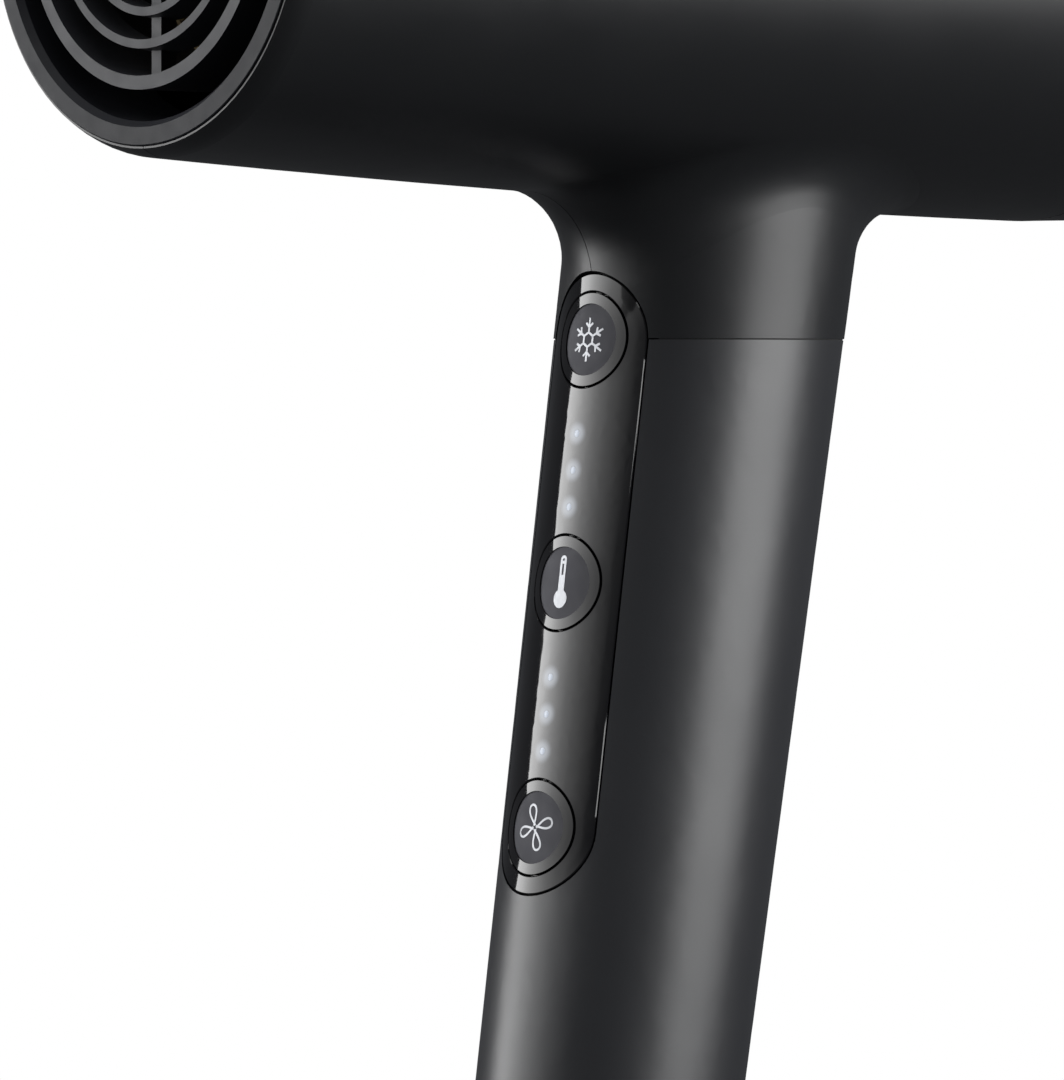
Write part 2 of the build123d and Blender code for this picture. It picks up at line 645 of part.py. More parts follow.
with BuildPart() as handle_core:
    add(grip_form(CORE_LOW, CORE_HIGH, WALL))
    add(grip_form(CORE_LOW - 1, CORE_HIGH + 1, WALL + CORE_WALL), mode=Mode.SUBTRACT)
    add(core_fittings.part)
    with BuildSketch(FRONT.offset(BOARD_FRONT + 1.5)):
        with Locations(*[(height, 0) for height in BUTTON_HEIGHTS.values()]):
            Circle(EAR_REACH + GAP)
        with Locations(*light_centres):
            SlotOverall(*LIGHT_SLOT)
    extrude(amount=20, mode=Mode.SUBTRACT)
    with BuildSketch(REAR.offset(SHELF_FACE + 3)):
        with Locations((WINDOW_CENTRE, 0)):
            Rectangle(*STEM_SLOT)
    extrude(amount=20, mode=Mode.SUBTRACT)
    with BuildSketch(FRONT.offset(BOARD_BACK)):
        with Locations(*BOARD_SCREWS):
            Circle(BOARD_SCREW_RADIUS)
    extrude(amount=-RAIL_THICKNESS, mode=Mode.SUBTRACT)
    with BuildSketch(GRIP.offset(CORE_LOW)):
        with Locations(*BOSS_POINTS):
            Circle(CAP_SCREW_RADIUS)
    extrude(amount=BOSS_LENGTH, mode=Mode.SUBTRACT)
handle_core.part.label = "handle_core"
export_step(handle_core.part, "parts/handle_core.step")

# ---------------------------------------------------------------- control panel

# Panel: a strip of the handle's own surface, bored for the buttons
EDGE_BREAK = 0.12
with BuildPart() as control_panel:
    add(grip_form(60, 175, 0))
    add(grip_form(59, 176, WALL), mode=Mode.SUBTRACT)
    add(panel_cutter(PANEL_RADIUS, 5), mode=Mode.INTERSECT)
    with BuildSketch(FRONT.offset(5)):
        with Locations(*[(height, 0) for height in BUTTON_HEIGHTS.values()]):
            Circle(BUTTON_RADIUS + GAP)
    extrude(amount=30, mode=Mode.SUBTRACT)
    outer_face = control_panel.faces().sort_by(Axis((0, 0, 0), FRONT.z_dir))[-1]
    chamfer(outer_face.edges(), length=EDGE_BREAK)
control_panel.part.label = "control_panel"
export_step(control_panel.part, "parts/control_panel.step")

# Each button is a ring cap with a matte face let into it, a stem, and two ears that
# hold it behind the panel. A tact switch's plunger rides under the stem.
CAP_DEPTH = 3.4
EAR_THICKNESS = 0.9
PLUNGER_TOP = 14.0
PLUNGER_RADIUS = 1.75
PLUNGER_LENGTH = 2.3
STEM_RADIUS = 2.2
FACE_THICKNESS = 0.8
for name, height in BUTTON_HEIGHTS.items():
    apex = half_depth(height)
    underside = apex - CAP_DEPTH
    face_seat = grip_form(height - 15, height + 15, FACE_RECESS + FACE_THICKNESS)
    with BuildPart() as face_pocket:
        with BuildSketch(FRONT.offset(underside + 0.5)):
            with Locations((height, 0)):
                Circle(FACE_RADIUS)
        extrude(amount=CAP_DEPTH + 3)
        add(face_seat, mode=Mode.SUBTRACT)

    with BuildPart() as button:
        with BuildSketch(FRONT.offset(underside)):
            with Locations((height, 0)):
                Circle(BUTTON_RADIUS)
        extrude(amount=CAP_DEPTH + 3)
        add(grip_form(height - 15, height + 15, 0), mode=Mode.INTERSECT)
        add(face_pocket.part, mode=Mode.SUBTRACT)
        with BuildSketch(FRONT.offset(underside)):
            with Locations((height, 0)):
                Rectangle(2 * EAR_REACH, 4)
                Circle(BUTTON_RADIUS - 0.5)
        extrude(amount=EAR_THICKNESS)
        with BuildSketch(FRONT.offset(PLUNGER_TOP)):
            with Locations((height, 0)):
                Circle(STEM_RADIUS)
        extrude(amount=underside - PLUNGER_TOP + 0.5)
    button.part.label = f"{name}_button"
    export_step(button.part, f"parts/{name}_button.step")

    with BuildPart() as button_face:
        with BuildSketch(FRONT.offset(underside)):
            with Locations((height, 0)):
                Circle(FACE_RADIUS)
        extrude(amount=CAP_DEPTH + 3)
        add(grip_form(height - 15, height + 15, FACE_RECESS), mode=Mode.INTERSECT)
        add(face_seat, mode=Mode.SUBTRACT)
    button_face.part.label = f"{name}_face"
    export_step(button_face.part, f"parts/{name}_face.step")

    with BuildPart() as plunger:
        with BuildSketch(FRONT.offset(PLUNGER_TOP)):
            with Locations((height, 0)):
                Circle(PLUNGER_RADIUS)
        extrude(amount=-PLUNGER_LENGTH)
    plunger.part.label = f"{name}_plunger"
    export_step(plunger.part, f"parts/{name}_plunger.step")

# ---------------------------------------------------------------- control board

button_points = [(height, 0) for height in BUTTON_HEIGHTS.values()]
TACT_SIZE = 6.0
TACT_HEIGHT = 3.2
TACT_FLOOR = 1.0
DOME_THICKNESS = 0.3
PLUNGER_FIT = 0.08
with BuildPart() as control_board:
    with BuildSketch(FRONT.offset(BOARD_BACK)):
        with Locations(((BOARD_LOW + BOARD_HIGH) / 2, 0)):
            RectangleRounded(BOARD_HIGH - BOARD_LOW, BOARD_WIDTH, 1.5)
        with Locations(*BOARD_SCREWS):
            Circle(0.95, mode=Mode.SUBTRACT)
    extrude(amount=BOARD_THICKNESS)
control_board.part.label = "control_board"
export_step(control_board.part, "parts/control_board.step")

with BuildPart() as board_screws:
    with BuildSketch(FRONT.offset(BOARD_BACK - RAIL_THICKNESS)):
        with Locations(*BOARD_SCREWS):
            Circle(BOARD_SCREW_RADIUS)
    extrude(amount=RAIL_THICKNESS + BOARD_THICKNESS)
    with BuildSketch(FRONT.offset(BOARD_FRONT)):
        with Locations(*BOARD_SCREWS):
            Circle(1.5)
    extrude(amount=0.9)
board_screws.part.label = "board_screws"
export_step(board_screws.part, "parts/board_screws.step")

with BuildPart() as tact_switches:
    with BuildSketch(FRONT.offset(BOARD_FRONT)):
        with Locations(*button_points):
            RectangleRounded(TACT_SIZE, TACT_SIZE, 0.5)
    extrude(amount=TACT_HEIGHT)
    with BuildSketch(FRONT.offset(BOARD_FRONT + TACT_FLOOR)):
        with Locations(*button_points):
            Circle(PLUNGER_RADIUS + PLUNGER_FIT)
    extrude(amount=TACT_HEIGHT, mode=Mode.SUBTRACT)
tact_switches.part.label = "tact_switches"
export_step(tact_switches.part, "parts/tact_switches.step")

with BuildPart() as contact_domes:
    with BuildSketch(FRONT.offset(BOARD_FRONT + TACT_FLOOR)):
        with Locations(*button_points):
            Circle(PLUNGER_RADIUS)
    extrude(amount=DOME_THICKNESS)
    outer_faces = contact_domes.faces().sort_by(Axis((0, 0, 0), FRONT.z_dir))[-3:]
    chamfer(outer_faces.edges(), length=0.15)
contact_domes.part.label = "contact_domes"
export_step(contact_domes.part, "parts/contact_domes.step")

# Processor, choke, capacitor and driver, in rows on the board's two faces
with BuildPart() as board_components:
    with BuildSketch(FRONT.offset(BOARD_FRONT)):
        with Locations((104, -6.6), (128, 6.4)):
            Rectangle(8, 5.5)
    extrude(amount=1.4)
    with BuildSketch(FRONT.offset(BOARD_BACK)):
        with Locations((132, -4), (132, 4)):
            Circle(3.2)
        with Locations((112, 0)):
            Rectangle(12, 11)
        with Locations((90, 2)):
            Rectangle(10, 9)
    extrude(amount=-6)
board_components.part.label = "board_components"
export_step(board_components.part, "parts/board_components.step")

LED_HEIGHT = 0.8
light_points = [(height, 0) for height in LIGHT_HEIGHTS]
with BuildPart() as indicator_leds:
    with BuildSketch(FRONT.offset(BOARD_FRONT)):
        with Locations(*light_points):
            Rectangle(1.6, 2.6)
    extrude(amount=LED_HEIGHT)
indicator_leds.part.label = "indicator_leds"
export_step(indicator_leds.part, "parts/indicator_leds.step")

# Clear bars that carry each row of lights from the board to the back of the panel
GUIDE_BASE = 13.0
with BuildPart() as light_guides:
    with BuildSketch(FRONT.offset(GUIDE_BASE)):
        with Locations(*light_centres):
            SlotOverall(LIGHT_SLOT[0] - 0.6, LIGHT_SLOT[1] - 0.6)
    extrude(amount=10)
    add(grip_form(60, 170, WALL + 0.1), mode=Mode.INTERSECT)
    with BuildSketch(FRONT.offset(BOARD_FRONT + LED_HEIGHT + 0.2)):
        with Locations(*light_points):
            Circle(1.2)
    extrude(amount=GUIDE_BASE - BOARD_FRONT - LED_HEIGHT)
light_guides.part.label = "light_guides"
export_step(light_guides.part, "parts/light_guides.step")

# ---------------------------------------------------------------- power switch

# Knob: a curved plate with a thumb ridge, on a stem with two ears that clip in the core
EAR_INSET = WALL + CORE_WALL + 0.35
STEM_TIP = 13.2
RIDGE_RISES = (0.6, 3.0)    # ridges above the knob's centre
RIDGE_WIDTH = 1.3
with BuildPart() as thumb_ridges:
    with BuildSketch(REAR.offset(5)):
        with Locations(*[(KNOB_HEIGHT + rise, 0) for rise in RIDGE_RISES]):
            RectangleRounded(RIDGE_WIDTH, KNOB_WIDTH - 1.6, 0.6)
    extrude(amount=30)
    add(grip_form(120, 170, -RIDGE_PROUD), mode=Mode.INTERSECT)

with BuildPart() as power_switch_knob:
    with BuildSketch(REAR.offset(5)):
        with Locations((KNOB_HEIGHT, 0)):
            RectangleRounded(KNOB_LENGTH, KNOB_WIDTH, 3)
    extrude(amount=30)
    add(grip_form(120, 170, -KNOB_PROUD), mode=Mode.INTERSECT)
    add(thumb_ridges.part)
    add(grip_form(119, 171, WALL - GAP), mode=Mode.SUBTRACT)
    with BuildSketch(REAR.offset(STEM_TIP)):
        with Locations((KNOB_HEIGHT, 0)):
            Rectangle(STEM_LENGTH, STEM_WIDTH)
    extrude(amount=half_depth(KNOB_HEIGHT) - 1 - STEM_TIP)
    ear_top = half_depth(KNOB_HEIGHT) - EAR_INSET - 0.1
    with BuildSketch(REAR.offset(ear_top - 0.9)):
        with Locations((KNOB_HEIGHT, 0)):
            Rectangle(STEM_LENGTH, STEM_WIDTH + 2.4)
    extrude(amount=0.9)
power_switch_knob.part.label = "power_switch_knob"
export_step(power_switch_knob.part, "parts/power_switch_knob.step")

SWITCH_BODY_TOP = 14.6
with BuildPart() as power_switch_body:
    with BuildSketch(REAR.offset(SHELF_FACE)):
        with Locations((WINDOW_CENTRE, 0)):
            RectangleRounded(15, 9, 0.8)
    extrude(amount=SWITCH_BODY_TOP - SHELF_FACE)
    with BuildSketch(REAR.offset(STEM_TIP - 0.5)):
        with Locations((WINDOW_CENTRE, 0)):
            Rectangle(*STEM_SLOT)
    extrude(amount=5, mode=Mode.SUBTRACT)
power_switch_body.part.label = "power_switch_body"
export_step(power_switch_body.part, "parts/power_switch_body.step")

# ---------------------------------------------------------------- base and wiring

GLAND_RADIUS = 6.0
GLAND_COLLAR = 7.4
CORD_HOLE = 3.6
GLAND_LOW = 0.9
GLAND_HIGH = 13.0
with BuildPart() as cap_hollow:
    add(grip_form(5.5, 15, WALL + CORE_WALL))
    with BuildSketch(GRIP):
        Circle(GLAND_COLLAR + 1.9)
        with Locations(*BOSS_POINTS):
            Circle(BOSS_RADIUS)
    extrude(amount=14, mode=Mode.SUBTRACT)

with BuildPart() as end_cap:
    add(grip_form(-8, 12, 0))
    split(bisect_by=Plane.XY, keep=Keep.TOP)
    split(bisect_by=Plane.XY.offset(CAP_EDGE), keep=Keep.BOTTOM)
    fillet(end_cap.edges().group_by(Axis.Z)[0], radius=1.2)
    add(grip_form(1, 14, WALL))
    split(bisect_by=Plane.XY, keep=Keep.TOP)
    add(cap_hollow.part, mode=Mode.SUBTRACT)
    with BuildSketch(GRIP.offset(-4)):
        Circle(GLAND_RADIUS)
    extrude(amount=20, mode=Mode.SUBTRACT)
    with BuildSketch(GRIP.offset(5)):
        Circle(GLAND_COLLAR)
    extrude(amount=10, mode=Mode.SUBTRACT)
    with BuildSketch(GRIP.offset(-4)):
        with Locations(*BOSS_POINTS):
            Circle(CAP_SCREW_RADIUS + 0.15)
    extrude(amount=20, mode=Mode.SUBTRACT)
    with BuildSketch(GRIP.offset(-4)):
        with Locations(*BOSS_POINTS):
            Circle(2.1)
    extrude(amount=6.2, mode=Mode.SUBTRACT)
end_cap.part.label = "end_cap"
export_step(end_cap.part, "parts/end_cap.step")

with BuildPart() as end_cap_screws:
    with BuildSketch(GRIP.offset(2.2)):
        with Locations(*BOSS_POINTS):
            Circle(CAP_SCREW_RADIUS)
    extrude(amount=22)
    with BuildSketch(GRIP.offset(0.8)):
        with Locations(*BOSS_POINTS):
            Circle(1.9)
    extrude(amount=1.4)
    with BuildSketch(GRIP.offset(0.8)):
        with Locations(*BOSS_POINTS):
            Rectangle(2.4, 0.5)
            Rectangle(0.5, 2.4)
    extrude(amount=0.7, mode=Mode.SUBTRACT)
end_cap_screws.part.label = "end_cap_screws"
export_step(end_cap_screws.part, "parts/end_cap_screws.step")

with BuildPart() as cord_gland:
    with BuildSketch(GRIP.offset(GLAND_LOW)):
        Circle(GLAND_RADIUS)
    extrude(amount=GLAND_HIGH - GLAND_LOW)
    with BuildSketch(GRIP.offset(5)):
        Circle(GLAND_COLLAR)
    extrude(amount=2.5)
    with BuildSketch(GRIP.offset(GLAND_LOW)):
        Circle(CORD_HOLE)
    extrude(amount=GLAND_HIGH - GLAND_LOW, mode=Mode.SUBTRACT)
    chamfer(cord_gland.edges().filter_by(GeomType.CIRCLE).group_by(Axis.Z)[0].sort_by(SortBy.RADIUS)[0], length=0.6)
cord_gland.part.label = "cord_gland"
export_step(cord_gland.part, "parts/cord_gland.step")

# Terminal block above the gland, where the cord's wires would be screwed down
BLOCK_LOW = 30.0
BLOCK_HIGH = 42.0
with BuildPart() as terminal_block:
    with BuildSketch(GRIP.offset(BLOCK_LOW)):
        Rectangle(8, 16)
    extrude(amount=BLOCK_HIGH - BLOCK_LOW)
    with BuildSketch(GRIP.offset(BLOCK_LOW)):
        with Locations((0, -4), (0, 4)):
            Circle(1.6)
    extrude(amount=6, mode=Mode.SUBTRACT)
    with BuildSketch(REAR.offset(4)):
        with Locations((BLOCK_LOW + 3, -4), (BLOCK_LOW + 3, 4)):
            Circle(1.3)
    extrude(amount=-2.2, mode=Mode.SUBTRACT)
terminal_block.part.label = "terminal_block"
export_step(terminal_block.part, "parts/terminal_block.step")


def lead(points, radius, bend):
    """An insulated wire: straight runs joined by arcs, through points in the world."""
    with BuildPart() as wire:
        with BuildLine() as route:
            FilletPolyline(*points, radius=bend)
        with BuildSketch(Plane(origin=route.line @ 0, z_dir=route.line % 0)):
            Circle(radius)
        sweep()
    return wire.part


def in_handle(height, ahead, across):
    """A world point from a distance up the handle, ahead of its axis and across it."""
    return tuple(FRONT.from_local_coords((height, across, ahead)))


LEAD_RADIUS = 1.0
LEAD_BEND = 8.0
LEAD_DEPTH = BOARD_BACK - LEAD_RADIUS
with BuildPart() as power_leads:
    for across in (-4, 4):
        add(lead((
            in_handle(BLOCK_HIGH, 0, across),
            in_handle(50, 0, across),
            in_handle(62, LEAD_DEPTH, across),
            in_handle(76, LEAD_DEPTH, across),
        ), LEAD_RADIUS, LEAD_BEND))
power_leads.part.label = "power_leads"
export_step(power_leads.part, "parts/power_leads.step")

with BuildPart() as heater_leads:
    duct_floor = AXIS_HEIGHT - DUCT_OUTER
    for across in (-7, 7):
        add(lead((
            in_handle(146, LEAD_DEPTH, across),
            in_handle(166, LEAD_DEPTH, across),
            (4, across, duct_floor - 6),
            (0, across, duct_floor + 1.5),
        ), LEAD_RADIUS, 5))
    add(barrel_ring(0, DUCT_OUTER, 60, 100), mode=Mode.SUBTRACT)
heater_leads.part.label = "heater_leads"
export_step(heater_leads.part, "parts/heater_leads.step")

with BuildPart() as motor_leads:
    carrier_floor = AXIS_HEIGHT - CARRIER_OUTER
    for across in (-3, 0, 3):
        add(lead((
            in_handle(146, BOARD_BACK - 0.7, across),
            in_handle(166, BOARD_BACK - 0.7, across),
            (34, across, carrier_floor - 9),
            (44, across, carrier_floor + 1.5),
        ), 0.7, 5))
    add(barrel_ring(0, CARRIER_OUTER, 100, 140), mode=Mode.SUBTRACT)
motor_leads.part.label = "motor_leads"
export_step(motor_leads.part, "parts/motor_leads.step")
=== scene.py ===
import json
from math import atan2, cos, pi, radians, sin, sqrt

import bmesh
import bpy
from bpy.props import FloatProperty, FloatVectorProperty, IntProperty, PointerProperty
from mathutils import Euler, Matrix, Vector


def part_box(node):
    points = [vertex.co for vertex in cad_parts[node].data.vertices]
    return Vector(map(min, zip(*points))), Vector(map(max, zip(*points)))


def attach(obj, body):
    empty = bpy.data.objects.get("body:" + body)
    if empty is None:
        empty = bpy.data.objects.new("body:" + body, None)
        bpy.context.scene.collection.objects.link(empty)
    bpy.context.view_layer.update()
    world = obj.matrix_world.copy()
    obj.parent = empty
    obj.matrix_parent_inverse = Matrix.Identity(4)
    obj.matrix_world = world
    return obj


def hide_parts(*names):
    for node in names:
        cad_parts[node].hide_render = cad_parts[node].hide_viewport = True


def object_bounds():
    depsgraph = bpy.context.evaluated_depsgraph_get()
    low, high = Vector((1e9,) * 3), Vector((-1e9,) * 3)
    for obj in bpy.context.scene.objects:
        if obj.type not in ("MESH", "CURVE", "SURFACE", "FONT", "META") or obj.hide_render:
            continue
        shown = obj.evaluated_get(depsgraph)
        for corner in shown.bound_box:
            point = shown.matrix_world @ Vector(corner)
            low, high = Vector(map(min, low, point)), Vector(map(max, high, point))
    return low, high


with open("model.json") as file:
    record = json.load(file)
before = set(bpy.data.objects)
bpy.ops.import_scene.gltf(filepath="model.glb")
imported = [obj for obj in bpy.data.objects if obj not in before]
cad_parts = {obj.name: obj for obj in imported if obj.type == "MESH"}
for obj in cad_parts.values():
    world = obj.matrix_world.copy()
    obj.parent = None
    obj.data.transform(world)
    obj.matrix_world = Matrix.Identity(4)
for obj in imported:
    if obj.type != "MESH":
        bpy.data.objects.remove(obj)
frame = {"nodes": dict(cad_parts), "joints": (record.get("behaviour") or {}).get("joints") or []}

bl_info = {
    "name": "Hair Dryer",
    "version": (1, 0, 0),
    "blender": (4, 5, 0),
    "location": "View3D > Sidebar > Hair Dryer",
    "description": "Finishes and fine pieces of a hand-held hair dryer",
    "category": "Object",
}

CAD_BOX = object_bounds()
MM = 0.001

# ---------------------------------------------------------------- directions and sizes

JOINTS = {joint["name"]: joint for joint in frame["joints"]}
DOWN_HANDLE = Vector(JOINTS["power_switch_slide"]["axis"]).normalized()
UP_HANDLE = -DOWN_HANDLE
OUT_FRONT = -Vector(JOINTS["airflow_press"]["axis"]).normalized()

# Half axes of the handle's oval at its base and at the seam, and the seam's distance up it
BASE_DEPTH, BASE_WIDTH = 18.6 * MM, 16.9 * MM
SEAM_DEPTH, SEAM_WIDTH = 20.95 * MM, 19.05 * MM
SEAM_HEIGHT = 152.0 * MM
SEAM_ALONG = SEAM_HEIGHT / UP_HANDLE.z
FACE_RECESS = 0.2 * MM          # button faces lie this far under the handle's surface
PANEL_REACH = 9.5 * MM          # half the width that the control strip and its gap take
PANEL_DIP = 4.0 * MM            # the gasket passes this far under the control strip
SHORT_OF_END = 0.99999          # share of the oval's width that the gasket's path reaches
LIGHT_PITCH = 5.1 * MM          # between neighbouring lights in a row
ROW_DROP = 1.3 * MM             # a row's middle lies this far under halfway between two buttons
# the next two bound the painted glow that the control strip emits around each lit dot
PAINTED_GLOW_START = 0.5 * MM           # the glow around a light is full up to here
PAINTED_GLOW_END = 2.1 * MM             # and fades out here
BUTTONS = ("cool_shot", "temperature", "airflow")

RIM_LOW, RIM_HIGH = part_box("outlet_rim")
AXIS_HEIGHT = (RIM_LOW.z + RIM_HIGH.z) / 2


def height_of(node):
    """How far up the handle's axis the middle of a CAD node's box lies."""
    low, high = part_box(node)
    return (low + high).dot(UP_HANDLE) / 2


def on_grip(height, across, inset=0.0, side=1):
    """A point on the handle's oval: side is 1 for its front and -1 for its rear."""
    share = height / SEAM_ALONG
    depth = BASE_DEPTH + (SEAM_DEPTH - BASE_DEPTH) * share - inset
    width = BASE_WIDTH + (SEAM_WIDTH - BASE_WIDTH) * share - inset
    ahead = depth * sqrt(max(0.0, 1 - (across / width) ** 2))
    return UP_HANDLE * height + OUT_FRONT * (side * ahead) + Vector((0, across, 0))


def linear(colour):
    """An sRGB hex colour as linear red, green and blue."""
    levels = [int(colour[i:i + 2], 16) / 255 for i in (0, 2, 4)]
    return tuple(c / 12.92 if c <= 0.04045 else ((c + 0.055) / 1.055) ** 2.4 for c in levels)


def opaque(colour):
    """A linear colour with an alpha of 1."""
    return (*colour[:3], 1.0)


def per_metre(millimetres):
    """Texture scale whose features are about this many millimetres."""
    return 1000 / millimetres


# ---------------------------------------------------------------- settings

class DryerFinishes(bpy.types.PropertyGroup):
    """Colours of the visible finishes, and how bright the lights are"""
    head_colour: FloatVectorProperty(
        name="Head", description="Satin lacquer of the barrel and neck", subtype="COLOR",
        size=3, min=0, max=1, default=linear("1a1b1d"))
    sleeve_colour: FloatVectorProperty(
        name="Sleeve", description="Satin lacquer of the handle sleeve", subtype="COLOR",
        size=3, min=0, max=1, default=linear("242528"))
    panel_colour: FloatVectorProperty(
        name="Panel", description="Smoked acrylic of the control strip", subtype="COLOR",
        size=3, min=0, max=1, default=linear("141416"))
    icon_colour: FloatVectorProperty(
        name="Icons", description="Silver foil of the button icons", subtype="COLOR",
        size=3, min=0, max=1, default=linear("aeb0b4"))
    light_colour: FloatVectorProperty(
        name="Lights", description="Colour of the lit dots", subtype="COLOR",
        size=3, min=0, max=1, default=linear("d3dcea"))
    light_level: FloatProperty(
        name="Light Level", description="How strongly the dots shine", min=0, default=0.6)


class DryerSizes(bpy.types.PropertyGroup):
    """Sizes of the fine pieces"""
    light_radius: FloatProperty(
        name="Light Radius", description="Half the width of a lit dot", subtype="DISTANCE",
        unit="LENGTH", min=0, default=0.5 * MM)
    mark_proud: FloatProperty(
        name="Mark Thickness", description="How far foil marks stand off their surface",
        subtype="DISTANCE", unit="LENGTH", min=0, default=0.04 * MM)
    weave_pitch: FloatProperty(
        name="Weave Pitch", description="Distance between the filter's wires",
        subtype="DISTANCE", unit="LENGTH", min=0.0004, default=1.0 * MM)
    weave_wire: FloatProperty(
        name="Weave Wire", description="Thickness of the filter's wires",
        subtype="DISTANCE", unit="LENGTH", min=0, default=0.22 * MM)
    ribbon_waves: IntProperty(
        name="Ribbon Waves", description="Crimps in one turn of the heating ribbon",
        min=6, default=44)


class DryerStage(bpy.types.PropertyGroup):
    """Camera and lights"""
    camera_lens: FloatProperty(
        name="Lens", description="Focal length of the camera", subtype="DISTANCE_CAMERA",
        min=10, default=227.75)
    right_level: FloatProperty(
        name="Right Light", description="Brightness of the tall light on the right",
        min=0, default=4.6)
    left_level: FloatProperty(
        name="Left Light", description="Brightness of the tall light behind on the left",
        min=0, default=5.9)
    top_level: FloatProperty(
        name="Top Light", description="Brightness of the overhead light", min=0, default=1.3)


# ---------------------------------------------------------------- nodes and pieces

def add_node(tree, kind, settings=None, inputs=None):
    """Adds a node, applies its settings, and links or sets its inputs."""
    node = tree.nodes.new(kind)
    for name, value in (settings or {}).items():
        setattr(node, name, value)
    for name, value in (inputs or {}).items():
        if isinstance(value, bpy.types.NodeSocket):
            tree.links.new(value, node.inputs[name])
        else:
            node.inputs[name].default_value = value
    return node


def start_material(name, colour, roughness, sockets=None):
    """A material with one Principled shader; returns its tree, shader and coordinates."""
    material = bpy.data.materials.new(name)
    material.use_nodes = True
    material.diffuse_color = opaque(colour)
    tree = material.node_tree
    shader = tree.nodes["Principled BSDF"]
    shader.inputs["Base Color"].default_value = opaque(colour)
    shader.inputs["Roughness"].default_value = roughness
    for socket, value in (sockets or {}).items():
        shader.inputs[socket].default_value = value
    place = add_node(tree, "ShaderNodeTexCoord").outputs["Object"]
    return material, tree, shader, place


def noise_at(tree, place, millimetres, detail=2.0, stretch=(1, 1, 1)):
    """Noise whose patches are about this size; a stretch under 1 draws them out on that axis."""
    spread = add_node(tree, "ShaderNodeMapping", inputs={"Vector": place, "Scale": stretch})
    return add_node(tree, "ShaderNodeTexNoise", inputs={
        "Vector": spread.outputs["Vector"], "Scale": per_metre(millimetres), "Detail": detail,
    }).outputs["Fac"]


def bands_per_metre(millimetres):
    """Wave texture scale whose bands are this many millimetres apart."""
    return per_metre(millimetres) * pi / 10


def vary_roughness(tree, shader, factor, low, high):
    """Roughness that moves between two values with a factor."""
    span = add_node(tree, "ShaderNodeMapRange", inputs={
        "Value": factor, "From Min": 0.3, "From Max": 0.7, "To Min": low, "To Max": high,
    })
    tree.links.new(span.outputs["Result"], shader.inputs["Roughness"])


def vary_colour(tree, shader, factor, dark, light):
    """Base colour that moves between two colours with a factor."""
    ramp = add_node(tree, "ShaderNodeValToRGB", inputs={"Fac": factor})
    ramp.color_ramp.elements[0].position = 0.3
    ramp.color_ramp.elements[0].color = opaque(dark)
    ramp.color_ramp.elements[1].position = 0.7
    ramp.color_ramp.elements[1].color = opaque(light)
    tree.links.new(ramp.outputs["Color"], shader.inputs["Base Color"])


def raise_grain(tree, shader, factor, millimetres, strength):
    """Bump from a factor, of a real height in millimetres."""
    bump = add_node(tree, "ShaderNodeBump", inputs={
        "Height": factor, "Distance": millimetres * MM, "Strength": strength,
    })
    tree.links.new(bump.outputs["Normal"], shader.inputs["Normal"])


def shade(colour, amount):
    """A colour made lighter or darker by a factor."""
    return tuple(c * amount for c in colour[:3])


def plain_moulding(name, colour, roughness, grain, sockets=None):
    """Moulded plastic: mottled colour, uneven gloss and a fine spark-eroded grain."""
    material, tree, shader, place = start_material(name, colour, roughness, sockets)
    patches = noise_at(tree, place, 9.0)
    vary_colour(tree, shader, patches, shade(colour, 0.85), shade(colour, 1.15))
    vary_roughness(tree, shader, noise_at(tree, place, 3.0), roughness * 0.9, roughness * 1.1)
    raise_grain(tree, shader, noise_at(tree, place, grain), 0.02, 0.35)
    return material


def turned_metal(name, colour, roughness, streak, sockets=None):
    """Metal with fine lines around the barrel's axis, left by turning or drawing."""
    material, tree, shader, place = start_material(
        name, colour, roughness, {"Metallic": 1.0, **(sockets or {})})
    lines = noise_at(tree, place, streak, stretch=(1, 0.12, 0.12))
    vary_colour(tree, shader, lines, shade(colour, 0.8), shade(colour, 1.1))
    vary_roughness(tree, shader, lines, roughness * 0.8, roughness * 1.25)
    raise_grain(tree, shader, lines, 0.01, 0.3)
    return material


def finish_nodes(material, *names):
    """Gives CAD nodes a material."""
    for name in names:
        node = frame["nodes"][name]
        if not node.material_slots:
            node.data.materials.append(material)
        for slot in node.material_slots:
            slot.material = material


def shared(make):
    """The finish named after its making function, made only if it isn't there yet."""
    return bpy.data.materials.get(make.__name__.title()) or make()


def make_piece(name, form, material, body):
    """Turns a bmesh into a piece that rides on a body and takes a slot's finish."""
    mesh = bpy.data.meshes.new(name)
    form.to_mesh(mesh)
    form.free()
    mesh.materials.append(material)
    piece = bpy.data.objects.new(name, mesh)
    bpy.context.scene.collection.objects.link(piece)
    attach(piece, body)
    return piece


# ---------------------------------------------------------------- finishes of the shells

def satin_lacquer(name, colour, roughness, ior):
    """Satin lacquer on ABS: a soft-edged sheen over dark grey, with fine pearl in it."""
    material, tree, shader, place = start_material(name, colour, roughness, {"IOR": ior})
    # the real pearl is about 0.03 mm; it is drawn at 0.25 mm so that it shows
    pearl = noise_at(tree, place, 0.25, detail=1.0)
    vary_colour(tree, shader, pearl, shade(colour, 0.93), shade(colour, 1.07))
    clouds = noise_at(tree, place, 14.0)
    vary_roughness(tree, shader, clouds, roughness * 0.96, roughness * 1.05)
    # faint orange peel of a sprayed coat, about 1.2 mm wide
    raise_grain(tree, shader, noise_at(tree, place, 1.2), 0.01, 0.12)
    return material


def satin_gunmetal(name, colour, level):
    """Satin gunmetal paint on the outlet: dark and cool, with a low even gloss."""
    return plain_moulding(name, linear(colour), 0.45, 0.3, {"Specular IOR Level": level})


